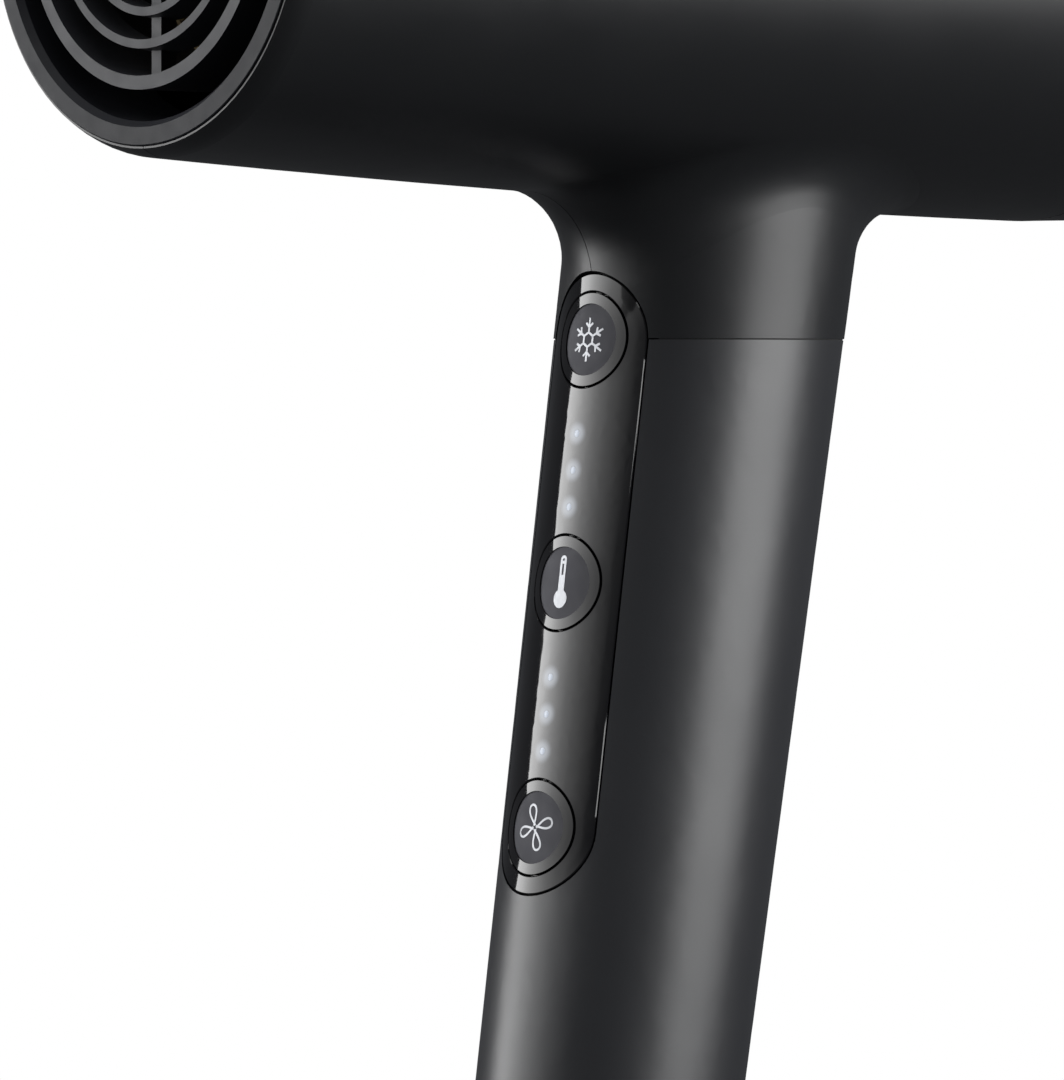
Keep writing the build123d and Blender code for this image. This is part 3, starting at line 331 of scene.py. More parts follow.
def smoked_acrylic(name, colour, painted_glow_points=(), glow=(0, 0, 0)):
    """Smoked gloss acrylic: near black and mirror-like, with a painted glow around its lights that
    the acrylic itself emits.
    """
    material, tree, shader, place = start_material(name, colour, 0.06, {
        "IOR": 1.49, "Coat Weight": 0.3, "Coat Roughness": 0.03,
    })
    # wiping marks, about 6 mm long, that only the gloss shows
    marks = noise_at(tree, place, 2.0, detail=4.0, stretch=(1, 1, 0.3))
    vary_roughness(tree, shader, marks, 0.045, 0.085)
    # painted glow: the acrylic emits a soft ring of the dots' light around each dot, fading with
    # distance
    painted_glow_sum = None
    for point in painted_glow_points:
        gap = add_node(tree, "ShaderNodeVectorMath", {"operation": "DISTANCE"}, {
            0: place, 1: tuple(point)})
        painted_glow_ring = add_node(tree, "ShaderNodeMapRange", {"interpolation_type": "SMOOTHERSTEP"}, {
            "Value": gap.outputs["Value"], "From Min": PAINTED_GLOW_START, "From Max": PAINTED_GLOW_END,
            "To Min": 1.0, "To Max": 0.0,
        }).outputs["Result"]
        if painted_glow_sum is None:
            painted_glow_sum = painted_glow_ring
        else:
            painted_glow_sum = add_node(tree, "ShaderNodeMath", {"operation": "ADD"}, {
                0: painted_glow_sum, 1: painted_glow_ring}).outputs["Value"]
    if painted_glow_sum is not None:
        lit = add_node(tree, "ShaderNodeVectorMath", {"operation": "SCALE"}, {
            0: glow, "Scale": painted_glow_sum})
        tree.links.new(lit.outputs["Vector"], shader.inputs["Emission Color"])
        shader.inputs["Emission Strength"].default_value = 1.0
    return material


def matt_film():
    """Matt polycarbonate film of the button faces: fine, even and lighter than the acrylic."""
    return plain_moulding("Matt_Polycarbonate_Film", linear("4c4c51"), 0.8, 0.2, {"IOR": 1.4})


# ---------------------------------------------------------------- finishes of the insides

def glass_filled_nylon():
    """Glass-filled nylon of the chassis, duct and plungers: dull, with an uneven gloss."""
    return plain_moulding("Glass_Filled_Nylon", linear("1d1d1f"), 0.62, 0.4)


def blower_nylon():
    """Dark grey nylon of the impeller, a little glossier than the chassis."""
    return plain_moulding("Blower_Nylon", linear("2c2e33"), 0.4, 0.35)


def vulcanised_rubber():
    """Vulcanised rubber of the gasket, gland and dampers: matt, with a soft bloom."""
    material, tree, shader, place = start_material(
        "Vulcanised_Rubber", linear("191919"), 0.78, {"IOR": 1.52, "Sheen Weight": 0.15})
    bloom = noise_at(tree, place, 2.5, detail=4.0)
    vary_colour(tree, shader, bloom, linear("151515"), linear("222222"))
    raise_grain(tree, shader, noise_at(tree, place, 0.3), 0.03, 0.4)
    return material


def mica_board():
    """Pressed mica board of the heater: tan flakes that glint against one another."""
    material, tree, shader, place = start_material("Mica_Board", linear("b29c6f"), 0.38)
    flakes = add_node(tree, "ShaderNodeTexVoronoi", inputs={
        "Vector": place, "Scale": per_metre(1.6)})
    vary_colour(tree, shader, flakes.outputs["Distance"], linear("9c855a"), linear("cbb88c"))
    vary_roughness(tree, shader, noise_at(tree, place, 1.2), 0.28, 0.55)
    raise_grain(tree, shader, flakes.outputs["Distance"], 0.02, 0.4)
    return material


def resistance_ribbon():
    """Iron-chromium heating ribbon, oxidised to a dull brown grey."""
    return turned_metal("Oxidised_Resistance_Ribbon", linear("6f6258"), 0.5, 0.5)


def turned_aluminium():
    """Turned aluminium of the motor's housing: bright, with fine lathe lines."""
    return turned_metal("Turned_Aluminium", linear("c3c6ca"), 0.3, 0.2)


def laminated_steel():
    """Laminated electrical steel of the stator: 0.5 mm sheets stacked along the axis."""
    material, tree, shader, place = start_material(
        "Laminated_Steel", linear("a0a2a6"), 0.4, {"Metallic": 1.0})
    sheets = add_node(tree, "ShaderNodeTexWave", {"bands_direction": "X"}, {
        "Vector": place, "Scale": bands_per_metre(0.5), "Distortion": 0.0})
    vary_colour(tree, shader, sheets.outputs["Fac"], linear("55575b"), linear("a8aaae"))
    raise_grain(tree, shader, sheets.outputs["Fac"], 0.03, 0.6)
    return material


def nickel_plating():
    """Nickel plating of the magnets: bright and slightly warm."""
    return turned_metal("Nickel_Plating", linear("c9c5bd"), 0.18, 0.6)


def zinc_plated_steel():
    """Zinc-plated steel of screws, shaft, bearings and small fittings: cool and satin."""
    return turned_metal("Zinc_Plated_Steel", linear("b4b7bb"), 0.28, 0.4)


def enamelled_copper():
    """Enamelled copper windings: wires of 0.35 mm laid side by side."""
    material, tree, shader, place = start_material(
        "Enamelled_Copper", linear("b8622f"), 0.32, {"Metallic": 1.0})
    wires = add_node(tree, "ShaderNodeTexWave", {"bands_direction": "Y"}, {
        "Vector": place, "Scale": bands_per_metre(0.35), "Distortion": 0.0})
    vary_colour(tree, shader, wires.outputs["Fac"], linear("6d3415"), linear("cf7a3f"))
    raise_grain(tree, shader, wires.outputs["Fac"], 0.08, 0.8)
    return material


def stainless_wire():
    """Stainless wire of the woven filter: grey and softly bright."""
    return turned_metal("Stainless_Filter_Wire", linear("8d8f93"), 0.35, 0.3)


def solder_mask():
    """Green solder mask of the board, with paler lines in relief over its copper tracks."""
    material, tree, shader, place = start_material("Solder_Mask", linear("0e3d25"), 0.28)
    tracks = add_node(tree, "ShaderNodeTexBrick", {"offset": 0.37}, {
        "Vector": place, "Scale": per_metre(1.0) / 4, "Mortar Size": 0.02,
        "Color1": opaque(linear("0c3a22")), "Color2": opaque(linear("114a2c")),
        "Mortar": opaque(linear("1f6b43")),
    })
    tree.links.new(tracks.outputs["Color"], shader.inputs["Base Color"])
    raise_grain(tree, shader, tracks.outputs["Fac"], 0.05, 0.5)
    return material


def epoxy_package():
    """Epoxy cases of the board's components, the switches and the cut-out: black and dull."""
    return plain_moulding("Epoxy_Package", linear("161617"), 0.55, 0.25)


def phosphor_lens():
    """White lamp bodies: clear resin over a pale phosphor."""
    return plain_moulding("Lamp_Resin", linear("e9ebe6"), 0.25, 0.3)


def frosted_acrylic():
    """Frosted acrylic light bars: milky, passing light."""
    return plain_moulding("Frosted_Acrylic", linear("cdd2d6"), 0.5, 0.3, {
        "IOR": 1.49, "Transmission Weight": 0.5})


def silicone_sleeving():
    """Silicone insulation of the leads: dark and slightly tacky in its sheen."""
    return plain_moulding("Silicone_Insulation", linear("26262b"), 0.48, 0.5)


# ---------------------------------------------------------------- shapes of the icons

def add_bar(form, start, end, width):
    """A flat strip between two points."""
    start, end = Vector((*start, 0)), Vector((*end, 0))
    along = end - start
    made = bmesh.ops.create_grid(form, x_segments=4, y_segments=1, size=0.5)["verts"]
    bmesh.ops.scale(form, verts=made, vec=(along.length, width, 1))
    bmesh.ops.rotate(
        form, verts=made, cent=(0, 0, 0), matrix=Matrix.Rotation(atan2(along.y, along.x), 3, "Z"))
    bmesh.ops.translate(form, verts=made, vec=(start + end) / 2)


def add_disc(form, centre, radius, segments=32):
    """A flat disc, divided into a middle and a ring so that it can bend."""
    made = bmesh.ops.create_circle(form, cap_ends=True, segments=segments, radius=radius)["verts"]
    face = next(iter(made[0].link_faces))
    bmesh.ops.inset_individual(form, faces=[face], thickness=radius * 0.5)
    moved = list(set(made) | set(face.verts))
    bmesh.ops.translate(form, verts=moved, vec=(*centre, 0))


def add_loop(form, centre, outer, inner, segments=32):
    """A flat ring."""
    edges = []
    verts = []
    for radius in (outer, inner):
        made = bmesh.ops.create_circle(form, segments=segments, radius=radius)["verts"]
        verts += made
        edges += list({edge for vert in made for edge in vert.link_edges})
    bmesh.ops.bridge_loops(form, edges=edges)
    bmesh.ops.translate(form, verts=verts, vec=(*centre, 0))


def turned(point, angle):
    """A point on the plane turned about the middle."""
    return (
        point[0] * cos(angle) - point[1] * sin(angle),
        point[0] * sin(angle) + point[1] * cos(angle),
    )


def snowflake():
    """Six branched arms around a small hexagon."""
    form = bmesh.new()
    tip, fork, hexagon, stroke = 3.05 * MM, 1.75 * MM, 1.0 * MM, 0.32 * MM
    barb = (0.68 * MM, 2.3 * MM)
    for arm in range(6):
        angle = arm * pi / 3
        add_bar(form, turned((0, hexagon), angle), turned((0, tip), angle), stroke)
        for side in (-1, 1):
            add_bar(form, turned((0, fork), angle), turned((side * barb[0], barb[1]), angle), stroke)
        add_bar(form, turned((0, hexagon), angle), turned((0, hexagon), angle + pi / 3), stroke)
    return form


def thermometer():
    """A bulb under a tube with an open slot."""
    form = bmesh.new()
    tube, wall, top, slot_end = 1.18 * MM, 0.4 * MM, 3.22 * MM, 1.1 * MM
    bulb, bulb_drop = 1.29 * MM, 2.2 * MM
    rail = (tube - wall) / 2
    for side in (-1, 1):
        add_bar(form, (side * rail, slot_end), (side * rail, top), wall)
    add_loop(form, (0, top), tube / 2, tube / 2 - wall)
    add_bar(form, (0, -bulb_drop), (0, slot_end), tube)
    add_disc(form, (0, -bulb_drop), bulb)
    return form


def fan_petals():
    """Four outlined petals around the middle, all leaning the same way."""
    form = bmesh.new()
    length, width, stroke, clearance = 3.15 * MM, 2.3 * MM, 0.3 * MM, 0.192 * MM
    first_turn = radians(17)
    # the higher this power, the slimmer each petal's root
    root_taper = 1.35
    for petal in range(4):
        made = bmesh.ops.create_circle(form, cap_ends=True, segments=40, radius=1)["verts"]
        face = next(iter(made[0].link_faces))
        for vert in made:
            angle = atan2(vert.co.y, vert.co.x)
            along = length * (1 - cos(angle)) / 2
            across = width / 2 * sin(angle) * abs(sin(angle / 2)) ** root_taper
            vert.co = (across, clearance + along, 0)
        bmesh.ops.recalc_face_normals(form, faces=[face])
        rim = bmesh.ops.inset_individual(form, faces=[face], thickness=stroke)["faces"]
        verts = list({vert for ring_face in rim for vert in ring_face.verts})
        bmesh.ops.delete(form, geom=[face], context="FACES_ONLY")
        turn = Matrix.Rotation(first_turn - petal * pi / 2, 3, "Z")
        bmesh.ops.rotate(form, verts=verts, cent=(0, 0, 0), matrix=turn)
    return form


def thicken(form, thickness):
    """Gives a flat form a thickness, half of it sunk, with its faces outwards."""
    bmesh.ops.recalc_face_normals(form, faces=form.faces)
    for face in form.faces:
        if face.normal.z < 0:
            face.normal_flip()
    bmesh.ops.solidify(form, geom=form.faces[:], thickness=thickness)
    bmesh.ops.translate(form, verts=form.verts, vec=(0, 0, thickness / 2))
    bmesh.ops.recalc_face_normals(form, faces=form.faces)


def wrap_on_grip(form, height, inset, side=1):
    """Lays a flat form on the handle: its x runs to the viewer's right, y up the handle."""
    for vert in form.verts:
        lift = vert.co.z
        place = on_grip(height + vert.co.y, -side * vert.co.x, inset, side)
        vert.co = place + OUT_FRONT * (side * lift)


# ---------------------------------------------------------------- stage

CAMERA_PLACE = (-0.63295, -0.69351, 0.14649)
CAMERA_TURN = Euler((radians(88.649), radians(-0.068), radians(-42.078)))
SENSOR_WIDTH = 36
LIGHT_TARGET = Vector((0.01, 0, 0.13))
# places across the left light, from its far edge to the edge nearest the camera, each with
# its share of the brightness
LEFT_FADE = (
    (0.0, 1.0), (0.16, 0.96), (0.28, 0.72), (0.4, 0.5), (0.5, 0.33),
    (0.62, 0.2), (0.78, 0.09), (0.92, 0.02), (1.0, 0.0),
)
FLOOR_RADIUS = 3.0
FLOOR_GAP = 0.1 * MM            # between the dryer's base and the floor
# around the dryer the paper takes shadows, and outside this ring it is plain white
PAPER_END, WHITE_START = 0.12, 0.42
AMBIENT_LEVEL = 0.12


class DRYER_OT_stage(bpy.types.Operator):
    """Adds the floor, soft lights and camera"""
    bl_idname = "dryer.stage"
    bl_label = "Stage"

    def add_softbox(self, name, level, azimuth, elevation, distance, size):
        """A rectangular light of an even radiance that faces the dryer from a direction."""
        az, el = radians(azimuth), radians(elevation)
        away = Vector((sin(az) * cos(el), -cos(az) * cos(el), sin(el)))
        data = bpy.data.lights.new(name, "AREA")
        data.shape = "RECTANGLE"
        data.size, data.size_y = size
        data.energy = level * pi * size[0] * size[1]
        light = bpy.data.objects.new(name, data)
        light.location = LIGHT_TARGET + away * distance
        light.rotation_euler = away.to_track_quat("Z", "Y").to_euler()
        light.visible_camera = False
        bpy.context.scene.collection.objects.link(light)
        return data

    def feather(self, light, shares):
        """Fades a softbox across its width, through shares at places from 0 to 1."""
        light.use_nodes = True
        tree = light.node_tree
        across = add_node(tree, "ShaderNodeNewGeometry").outputs["Parametric"]
        parts = add_node(tree, "ShaderNodeSeparateXYZ", inputs={"Vector": across})
        ramp = add_node(tree, "ShaderNodeValToRGB", inputs={"Fac": parts.outputs["X"]})
        stops = ramp.color_ramp.elements
        while len(stops) < len(shares):
            stops.new(0.5)
        for stop, (place, share) in zip(stops, shares):
            stop.position = place
            stop.color = (share, share, share, 1)
        tree.links.new(ramp.outputs["Color"], tree.nodes["Emission"].inputs["Strength"])

    def add_floor(self, context):
        """A pale paper floor that fades to white, and that the gloss doesn't mirror."""
        form = bmesh.new()
        bmesh.ops.create_circle(form, cap_ends=True, segments=96, radius=FLOOR_RADIUS)
        bmesh.ops.translate(form, verts=form.verts, vec=(0, 0, CAD_BOX[0].z - FLOOR_GAP))
        mesh = bpy.data.meshes.new("Floor")
        form.to_mesh(mesh)
        form.free()
        floor = bpy.data.objects.new("Floor", mesh)
        context.scene.collection.objects.link(floor)
        floor.visible_glossy = False
        floor.visible_diffuse = False
        material, tree, shader, place = start_material("Pale_Paper", linear("f2f2f1"), 0.9)
        reach = add_node(tree, "ShaderNodeVectorMath", {"operation": "LENGTH"}, {0: place})
        fade = add_node(tree, "ShaderNodeMapRange", {"interpolation_type": "SMOOTHSTEP"}, {
            "Value": reach.outputs["Value"], "From Min": PAPER_END, "From Max": WHITE_START})
        white = add_node(tree, "ShaderNodeEmission", inputs={"Strength": 1.0})
        blend = add_node(tree, "ShaderNodeMixShader", inputs={
            0: fade.outputs["Result"], 1: shader.outputs["BSDF"], 2: white.outputs["Emission"]})
        output = tree.nodes["Material Output"]
        tree.links.new(blend.outputs["Shader"], output.inputs["Surface"])
        mesh.materials.append(material)

    def add_world(self, context):
        """White where the camera looks past the dryer, and a dim cool grey for everything else."""
        world = bpy.data.worlds.new("Studio")
        context.scene.world = world
        world.use_nodes = True
        tree = world.node_tree
        shell = tree.nodes["Background"]
        shell.inputs["Color"].default_value = opaque(linear("c9ccd2"))
        shell.inputs["Strength"].default_value = AMBIENT_LEVEL
        backdrop = add_node(tree, "ShaderNodeBackground", inputs={
            "Color": (1, 1, 1, 1), "Strength": 1.0})
        seen = add_node(tree, "ShaderNodeLightPath").outputs["Is Camera Ray"]
        mixed = add_node(tree, "ShaderNodeMixShader", inputs={
            0: seen, 1: shell.outputs["Background"], 2: backdrop.outputs["Background"]})
        tree.links.new(mixed.outputs["Shader"], tree.nodes["World Output"].inputs["Surface"])

    def add_camera(self, context, lens):
        """The camera, which looks at the neck and the control strip."""
        data = bpy.data.cameras.new("Camera")
        data.lens = lens
        data.sensor_width = SENSOR_WIDTH
        camera = bpy.data.objects.new("Camera", data)
        camera.location = CAMERA_PLACE
        camera.rotation_euler = CAMERA_TURN
        context.scene.collection.objects.link(camera)
        context.scene.camera = camera

    def execute(self, context):
        stage = context.scene.dryer_stage
        self.add_floor(context)
        self.add_world(context)
        self.add_softbox(
            "Right_Softbox", stage.right_level, azimuth=28, elevation=22, distance=0.75,
            size=(0.66, 0.95))
        left = self.add_softbox(
            "Left_Softbox", stage.left_level, azimuth=-115, elevation=8, distance=0.8,
            size=(1.34, 1.3))
        self.feather(left, LEFT_FADE)
        self.add_softbox(
            "Top_Softbox", stage.top_level, azimuth=-40, elevation=72, distance=0.8,
            size=(0.9, 0.7))
        self.add_camera(context, stage.camera_lens)
        context.scene.view_settings.view_transform = "Standard"
        return {"FINISHED"}


# ---------------------------------------------------------------- pieces

class DRYER_OT_shells(bpy.types.Operator):
    """Finishes the head, the sleeve, the rear cap and guard, the knob and the end cap"""
    bl_idname = "dryer.shells"
    bl_label = "Shells"

    def execute(self, context):
        finishes = context.scene.dryer_finishes
        head = satin_lacquer("Charcoal_Satin_Lacquer", finishes.head_colour, 0.38, 1.52)
        sleeve = satin_lacquer("Graphite_Satin_Lacquer", finishes.sleeve_colour, 0.38, 1.66)
        finish_nodes(head, "head_shell_left", "head_shell_right", "filter_cap")
        finish_nodes(sleeve, "handle_sleeve")
        base = plain_moulding("Moulded_ABS", linear("232427"), 0.45, 0.35)
        finish_nodes(base, "end_cap", "inlet_guard", "power_switch_knob")
        return {"FINISHED"}


class DRYER_OT_seam_gasket(bpy.types.Operator):
    """Adds the gasket in the seam between the sleeve and the neck"""
    bl_idname = "dryer.seam_gasket"
    bl_label = "Seam Gasket"

    def execute(self, context):
        form = bmesh.new()
        inset, wall, overlap = 0.12 * MM, 1.9 * MM, 0.1 * MM
        low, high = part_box("handle_sleeve")[1].z, SEAM_HEIGHT + overlap
        rings = []
        for depth in (inset, inset + wall):
            for level in (low, high):
                made = bmesh.ops.create_circle(form, segments=96, radius=1)["verts"]
                rings.append(list({edge for vert in made for edge in vert.link_edges}))
                for vert in made:
                    vert.co = self.seam_point(atan2(vert.co.y, vert.co.x), depth, level)
        outer_low, outer_high, inner_low, inner_high = rings
        for one, other in (
            (outer_low, outer_high), (outer_high, inner_high),
            (inner_high, inner_low), (inner_low, outer_low),
        ):
            bmesh.ops.bridge_loops(form, edges=one + other)
        bmesh.ops.recalc_face_normals(form, faces=form.faces)
        make_piece("seam_gasket", form, shared(vulcanised_rubber), "dryer")
        return {"FINISHED"}

    def seam_point(self, angle, inset, level):
        """Where the inset oval of the handle passes through a level plane."""
        side = 1 if cos(angle) >= 0 else -1
        along = level / UP_HANDLE.z
        # the oval leans, so the point is found by closing in on the level in a few steps
        for _ in range(4):
            width = BASE_WIDTH + (SEAM_WIDTH - BASE_WIDTH) * along / SEAM_ALONG - inset
            across = width * sin(angle) * SHORT_OF_END
            # the gasket dips under the control strip, which crosses the seam
            under = PANEL_DIP if side > 0 and abs(across) < PANEL_REACH else 0
            point = on_grip(along, across, inset + under, side)
            along += (level - point.z) / UP_HANDLE.z
        return point


class DRYER_OT_outlet(bpy.types.Operator):
    """Finishes the outlet's rim and grille"""
    bl_idname = "dryer.outlet"
    bl_label = "Outlet"

    def execute(self, context):
        rim = satin_gunmetal("Satin_Gunmetal_Paint_Dark", "1f2024", 0.15)
        finish_nodes(rim, "outlet_rim")
        finish_nodes(satin_gunmetal("Satin_Gunmetal_Paint", "292a2e", 0.25), "outlet_grille")
        return {"FINISHED"}


class DRYER_OT_control_panel(bpy.types.Operator):
    """Finishes the control strip and its buttons, and adds the lit dots"""
    bl_idname = "dryer.control_panel"
    bl_label = "Control Panel"

    def execute(self, context):
        finishes = context.scene.dryer_finishes
        sizes = context.scene.dryer_sizes
        glow = finishes.light_colour
        heights = self.light_heights()
        points = [on_grip(height, 0) for height in heights]
        # the strip gets a painted glow around each lit dot, in a dimmed copy of the dots' colour
        panel = smoked_acrylic(
            "Smoked_Acrylic_Painted_Glow", finishes.panel_colour, points, shade(glow, 0.3))
        finish_nodes(panel, "control_panel")
        ring = smoked_acrylic("Smoked_Acrylic", finishes.panel_colour)
        finish_nodes(ring, *[f"{name}_button" for name in BUTTONS])
        finish_nodes(matt_film(), *[f"{name}_face" for name in BUTTONS])
        lit, tree, shader, place = start_material("Lit_Acrylic_Dot", shade(glow, 0.2), 0.2)
        shader.inputs["Emission Color"].default_value = opaque(glow)
        shader.inputs["Emission Strength"].default_value = finishes.light_level
        # the dots' moulded surface is slightly uneven
        vary_roughness(tree, shader, noise_at(tree, place, 0.4), 0.15, 0.3)
        flatness, sunk = 0.22, 0.02 * MM
        form = bmesh.new()
        for height in heights:
            made = bmesh.ops.create_uvsphere(
                form, u_segments=24, v_segments=12, radius=sizes.light_radius)["verts"]
            bmesh.ops.scale(form, verts=made, vec=(1, 1, flatness))
            bmesh.ops.translate(form, verts=made, vec=(0, height, 0))
        wrap_on_grip(form, 0, sunk)
        for face in form.faces:
            face.smooth = True
        bmesh.ops.recalc_face_normals(form, faces=form.faces)
        make_piece("indicator_dots", form, lit, "dryer")
        return {"FINISHED"}

    def light_heights(self):
        """Heights up the handle of the six lit dots, in two rows of three."""
        top = self.row_middle(("cool_shot", "temperature"))
        bottom = self.row_middle(("temperature", "airflow"))
        return [row + step * LIGHT_PITCH for row in (top, bottom) for step in (-1, 0, 1)]

    def row_middle(self, pair):
        """The middle of the row of lights between two buttons."""
        upper, lower = (height_of(f"{name}_face") for name in pair)
        return (upper + lower) / 2 - ROW_DROP


class DRYER_OT_icons(bpy.types.Operator):
    """Adds the silver icons on the buttons"""
    bl_idname = "dryer.icons"
    bl_label = "Icons"

    def execute(self, context):
        finishes = context.scene.dryer_finishes
        proud = context.scene.dryer_sizes.mark_proud
        # hot-stamped aluminium foil: bright and soft, with an uneven gloss
        foil, tree, shader, place = start_material(
            "Hot_Stamped_Foil", finishes.icon_colour, 0.44, {"Metallic": 0.4})
        vary_roughness(tree, shader, noise_at(tree, place, 0.35), 0.38, 0.5)
        shapes = {"cool_shot": snowflake, "temperature": thermometer, "airflow": fan_petals}
        for name, draw in shapes.items():
            form = draw()
            thicken(form, 2 * proud)
            wrap_on_grip(form, height_of(f"{name}_face"), FACE_RECESS)
            bmesh.ops.recalc_face_normals(form, faces=form.faces)
            make_piece(f"{name}_icon", form, foil, f"{name}_button")
        return {"FINISHED"}


class DRYER_OT_rear_intake(bpy.types.Operator):
    """Weaves the filter's mesh and finishes the magnets"""
    bl_idname = "dryer.rear_intake"
    bl_label = "Rear Intake"

    def execute(self, context):
        sizes = context.scene.dryer_sizes
        low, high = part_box("filter_mesh")
        radius = (high.y - low.y) / 2
        # the real weave is about 0.5 mm; it is made coarser so that its wires show
        pitch, wire = sizes.weave_pitch, sizes.weave_wire
        rows = int(radius / pitch)
        form = bmesh.new()
        for direction in (0, 1):
            for row in range(-rows, rows + 1):
                self.add_wire(form, row, pitch, wire, radius, direction)
        bmesh.ops.solidify(form, geom=form.faces[:], thickness=wire * 0.8)
        turn = Matrix.Rotation(pi / 2, 4, "Y")
        place = Matrix.Translation(((low.x + high.x) / 2, 0, (low.z + high.z) / 2)) @ turn
        bmesh.ops.transform(form, matrix=place, verts=form.verts)
        bmesh.ops.recalc_face_normals(form, faces=form.faces)
        weave = make_piece("filter_weave", form, stainless_wire(), "filter_cap")
        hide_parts("filter_mesh")
        finish_nodes(shared(nickel_plating), "guard_magnets", "cap_magnets")
        return {"FINISHED"}

    def add_wire(self, form, row, pitch, wire, radius, direction):
        """One flat wire, as a strip, that passes over and under those that cross it."""
        offset = row * pitch
        half = sqrt(max(radius ** 2 - offset ** 2, pitch ** 2))
        steps = 4 * round(half / pitch)
        verts = bmesh.ops.create_grid(form, x_segments=steps, y_segments=1, size=0.5)["verts"]
        bmesh.ops.scale(form, verts=verts, vec=(2 * half, wire, 1))
        for vert in verts:
            phase = pi * (vert.co.x / pitch + row + direction)
            vert.co.z += wire / 2 * cos(phase)
            vert.co.y += offset
        if direction:
            quarter = Matrix.Rotation(pi / 2, 3, "Z")
            bmesh.ops.rotate(form, verts=verts, cent=(0, 0, 0), matrix=quarter)


class DRYER_OT_heater(bpy.types.Operator):
    """Crimps the heating ribbon and finishes the heater's mica and duct"""
    bl_idname = "dryer.heater"
    bl_label = "Heater"

    def execute(self, context):
        waves = context.scene.dryer_sizes.ribbon_waves
        low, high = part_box("heating_coils")
        turns, width, depth, gauge = 9, 1.5 * MM, 0.45 * MM, 0.12 * MM
        # the crimps stay inside the plain coils' outer radius
        radius = (high.z - low.z) / 2 - 0.5 * MM
        pitch = (high.x - low.x - width) / (turns - 1)
        form = bmesh.new()
        for turn in range(turns):
            made = bmesh.ops.create_circle(form, segments=waves * 8, radius=radius)["verts"]
            for vert in made:
                angle = atan2(vert.co.y, vert.co.x)
                reach = radius + depth * (sin(waves * angle) - 0.2)
                across, up = reach * cos(angle), reach * sin(angle)
                vert.co = (low.x + turn * pitch, across, AXIS_HEIGHT + up)
            edges = list({edge for vert in made for edge in vert.link_edges})
            drawn = bmesh.ops.extrude_edge_only(form, edges=edges)["geom"]
            lifted = [item for item in drawn if isinstance(item, bmesh.types.BMVert)]
            bmesh.ops.translate(form, verts=lifted, vec=(width, 0, 0))
        bmesh.ops.recalc_face_normals(form, faces=form.faces)
        bmesh.ops.solidify(form, geom=form.faces[:], thickness=gauge)
        for face in form.faces:
            face.smooth = True
        ribbon = make_piece("heating_ribbon", form, resistance_ribbon(), "dryer")
        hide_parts("heating_coils")
        finish_nodes(mica_board(), "mica_sleeve", "mica_plate_upright", "mica_plate_level")
        finish_nodes(shared(glass_filled_nylon), "heater_duct")
        finish_nodes(shared(epoxy_package), "thermal_cutout")
        finish_nodes(shared(zinc_plated_steel), "thermal_fuse", "duct_screws")
        return {"FINISHED"}


class DRYER_OT_motor(bpy.types.Operator):
    """Finishes the motor, its carrier and the impeller"""
    bl_idname = "dryer.motor"
    bl_label = "Motor"

    def execute(self, context):
        finish_nodes(shared(glass_filled_nylon), "motor_carrier", "bearing_plate")
        finish_nodes(shared(vulcanised_rubber), "motor_damper_front", "motor_damper_rear")
        finish_nodes(turned_aluminium(), "motor_housing")
        finish_nodes(laminated_steel(), "motor_stator")
        finish_nodes(enamelled_copper(), "motor_windings")
        finish_nodes(shared(zinc_plated_steel), "front_bearing", "rear_bearing", "rotor_shaft")
        finish_nodes(shared(nickel_plating), "rotor_magnet")
        finish_nodes(blower_nylon(), "impeller")
        return {"FINISHED"}


class DRYER_OT_handle_insides(bpy.types.Operator):
    """Finishes the chassis, the board, the leads and the gland"""
    bl_idname = "dryer.handle_insides"
    bl_label = "Handle Insides"

    def execute(self, context):
        plungers = [f"{name}_plunger" for name in BUTTONS]
        finish_nodes(shared(glass_filled_nylon), "handle_core", "terminal_block", *plungers)
        finish_nodes(solder_mask(), "control_board")
        finish_nodes(shared(epoxy_package), "board_components", "tact_switches", "power_switch_body")
        finish_nodes(shared(zinc_plated_steel), "board_screws", "end_cap_screws", "contact_domes")
        finish_nodes(phosphor_lens(), "indicator_leds")
        finish_nodes(frosted_acrylic(), "light_guides")
        finish_nodes(silicone_sleeving(), "power_leads", "heater_leads", "motor_leads")
        finish_nodes(shared(vulcanised_rubber), "cord_gland")
        return {"FINISHED"}


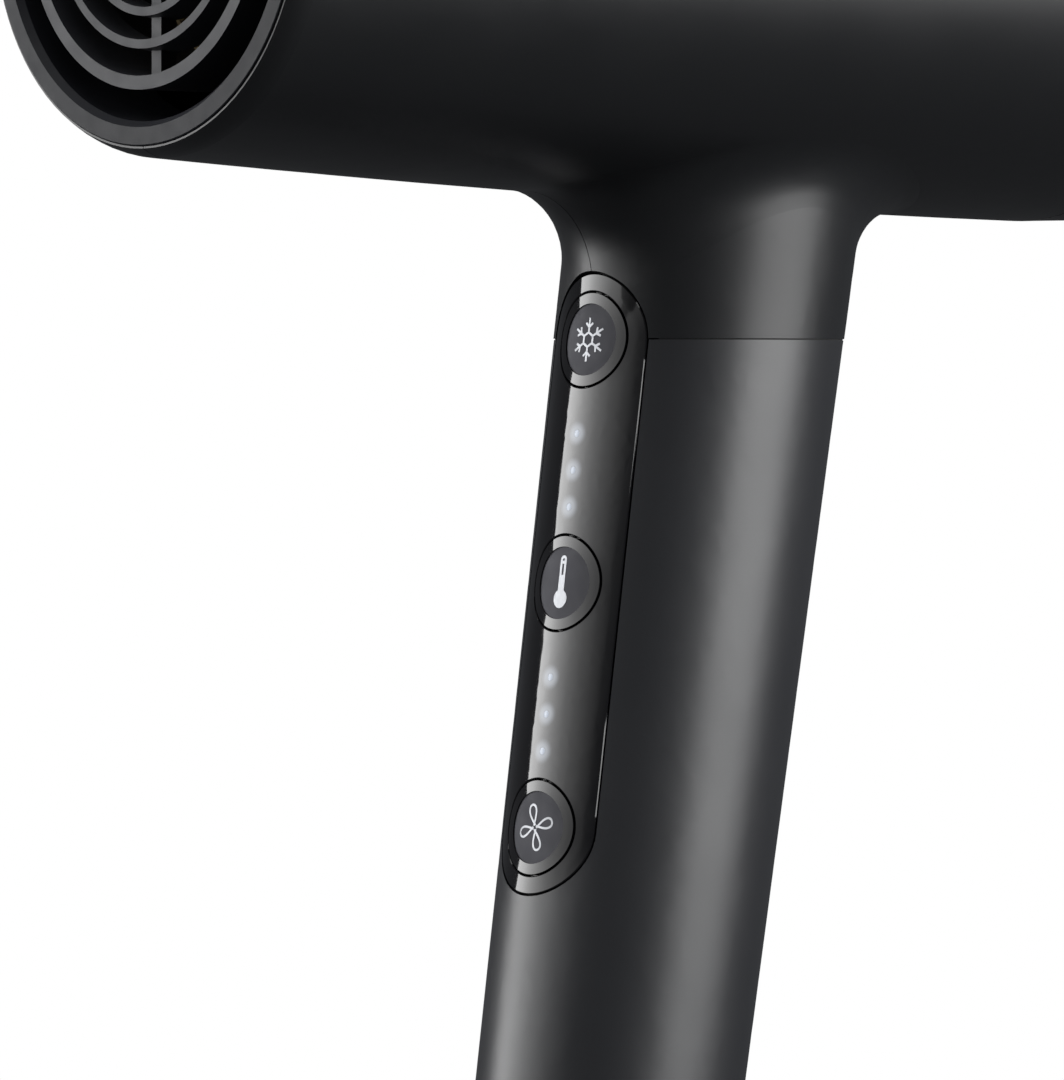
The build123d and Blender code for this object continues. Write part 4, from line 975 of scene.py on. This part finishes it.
class DRYER_OT_switch_marks(bpy.types.Operator):
    """Adds the on and off marks beside the power switch"""
    bl_idname = "dryer.switch_marks"
    bl_label = "Switch Marks"

    def execute(self, context):
        proud = context.scene.dryer_sizes.mark_proud
        # pad-printed pale grey ink, slightly raised and matt
        ink, tree, shader, place = start_material("Pad_Printed_Ink", linear("a9abae"), 0.6)
        vary_roughness(tree, shader, noise_at(tree, place, 0.4), 0.5, 0.7)
        half_bar, stroke, ring = 1.1 * MM, 0.45 * MM, 1.15 * MM
        on_mark = bmesh.new()
        add_bar(on_mark, (0, -half_bar), (0, half_bar), stroke)
        off_mark = bmesh.new()
        add_loop(off_mark, (0, 0), ring, ring - 0.4 * MM)
        switch = height_of("power_switch_body")
        marks = (("on_mark", on_mark, 13 * MM), ("off_mark", off_mark, 17.5 * MM))
        for name, form, drop in marks:
            thicken(form, 2 * proud)
            wrap_on_grip(form, switch - drop, 0, side=-1)
            bmesh.ops.recalc_face_normals(form, faces=form.faces)
            make_piece(name, form, ink, "dryer")
        return {"FINISHED"}


OPERATORS = (
    DRYER_OT_stage,
    DRYER_OT_shells,
    DRYER_OT_seam_gasket,
    DRYER_OT_outlet,
    DRYER_OT_control_panel,
    DRYER_OT_icons,
    DRYER_OT_rear_intake,
    DRYER_OT_heater,
    DRYER_OT_motor,
    DRYER_OT_handle_insides,
    DRYER_OT_switch_marks,
)


class DRYER_PT_pieces(bpy.types.Panel):
    """Lists the dryer's pieces and settings"""
    bl_idname = "DRYER_PT_pieces"
    bl_label = "Hair Dryer"
    bl_space_type = "VIEW_3D"
    bl_region_type = "UI"
    bl_category = "Hair Dryer"

    def draw(self, context):
        """Draws a button for each operator and a box for each group of settings."""
        for operator in OPERATORS:
            self.layout.operator(operator.bl_idname)
        for group in ("dryer_finishes", "dryer_sizes", "dryer_stage"):
            settings = getattr(context.scene, group)
            box = self.layout.box()
            for name in settings.__annotations__:
                box.prop(settings, name)


CLASSES = (DryerFinishes, DryerSizes, DryerStage, *OPERATORS, DRYER_PT_pieces)


def register():
    """Registers the classes and their settings."""
    for each in CLASSES:
        bpy.utils.register_class(each)
    bpy.types.Scene.dryer_finishes = PointerProperty(type=DryerFinishes)
    bpy.types.Scene.dryer_sizes = PointerProperty(type=DryerSizes)
    bpy.types.Scene.dryer_stage = PointerProperty(type=DryerStage)


def unregister():
    """Removes the settings and the classes."""
    del bpy.types.Scene.dryer_stage
    del bpy.types.Scene.dryer_sizes
    del bpy.types.Scene.dryer_finishes
    for each in reversed(CLASSES):
        bpy.utils.unregister_class(each)


def main():
    """Builds everything in order."""
    register()
    for operator in OPERATORS:
        group, name = operator.bl_idname.split(".")
        getattr(getattr(bpy.ops, group), name)()


if __name__ == "__main__":
    main()
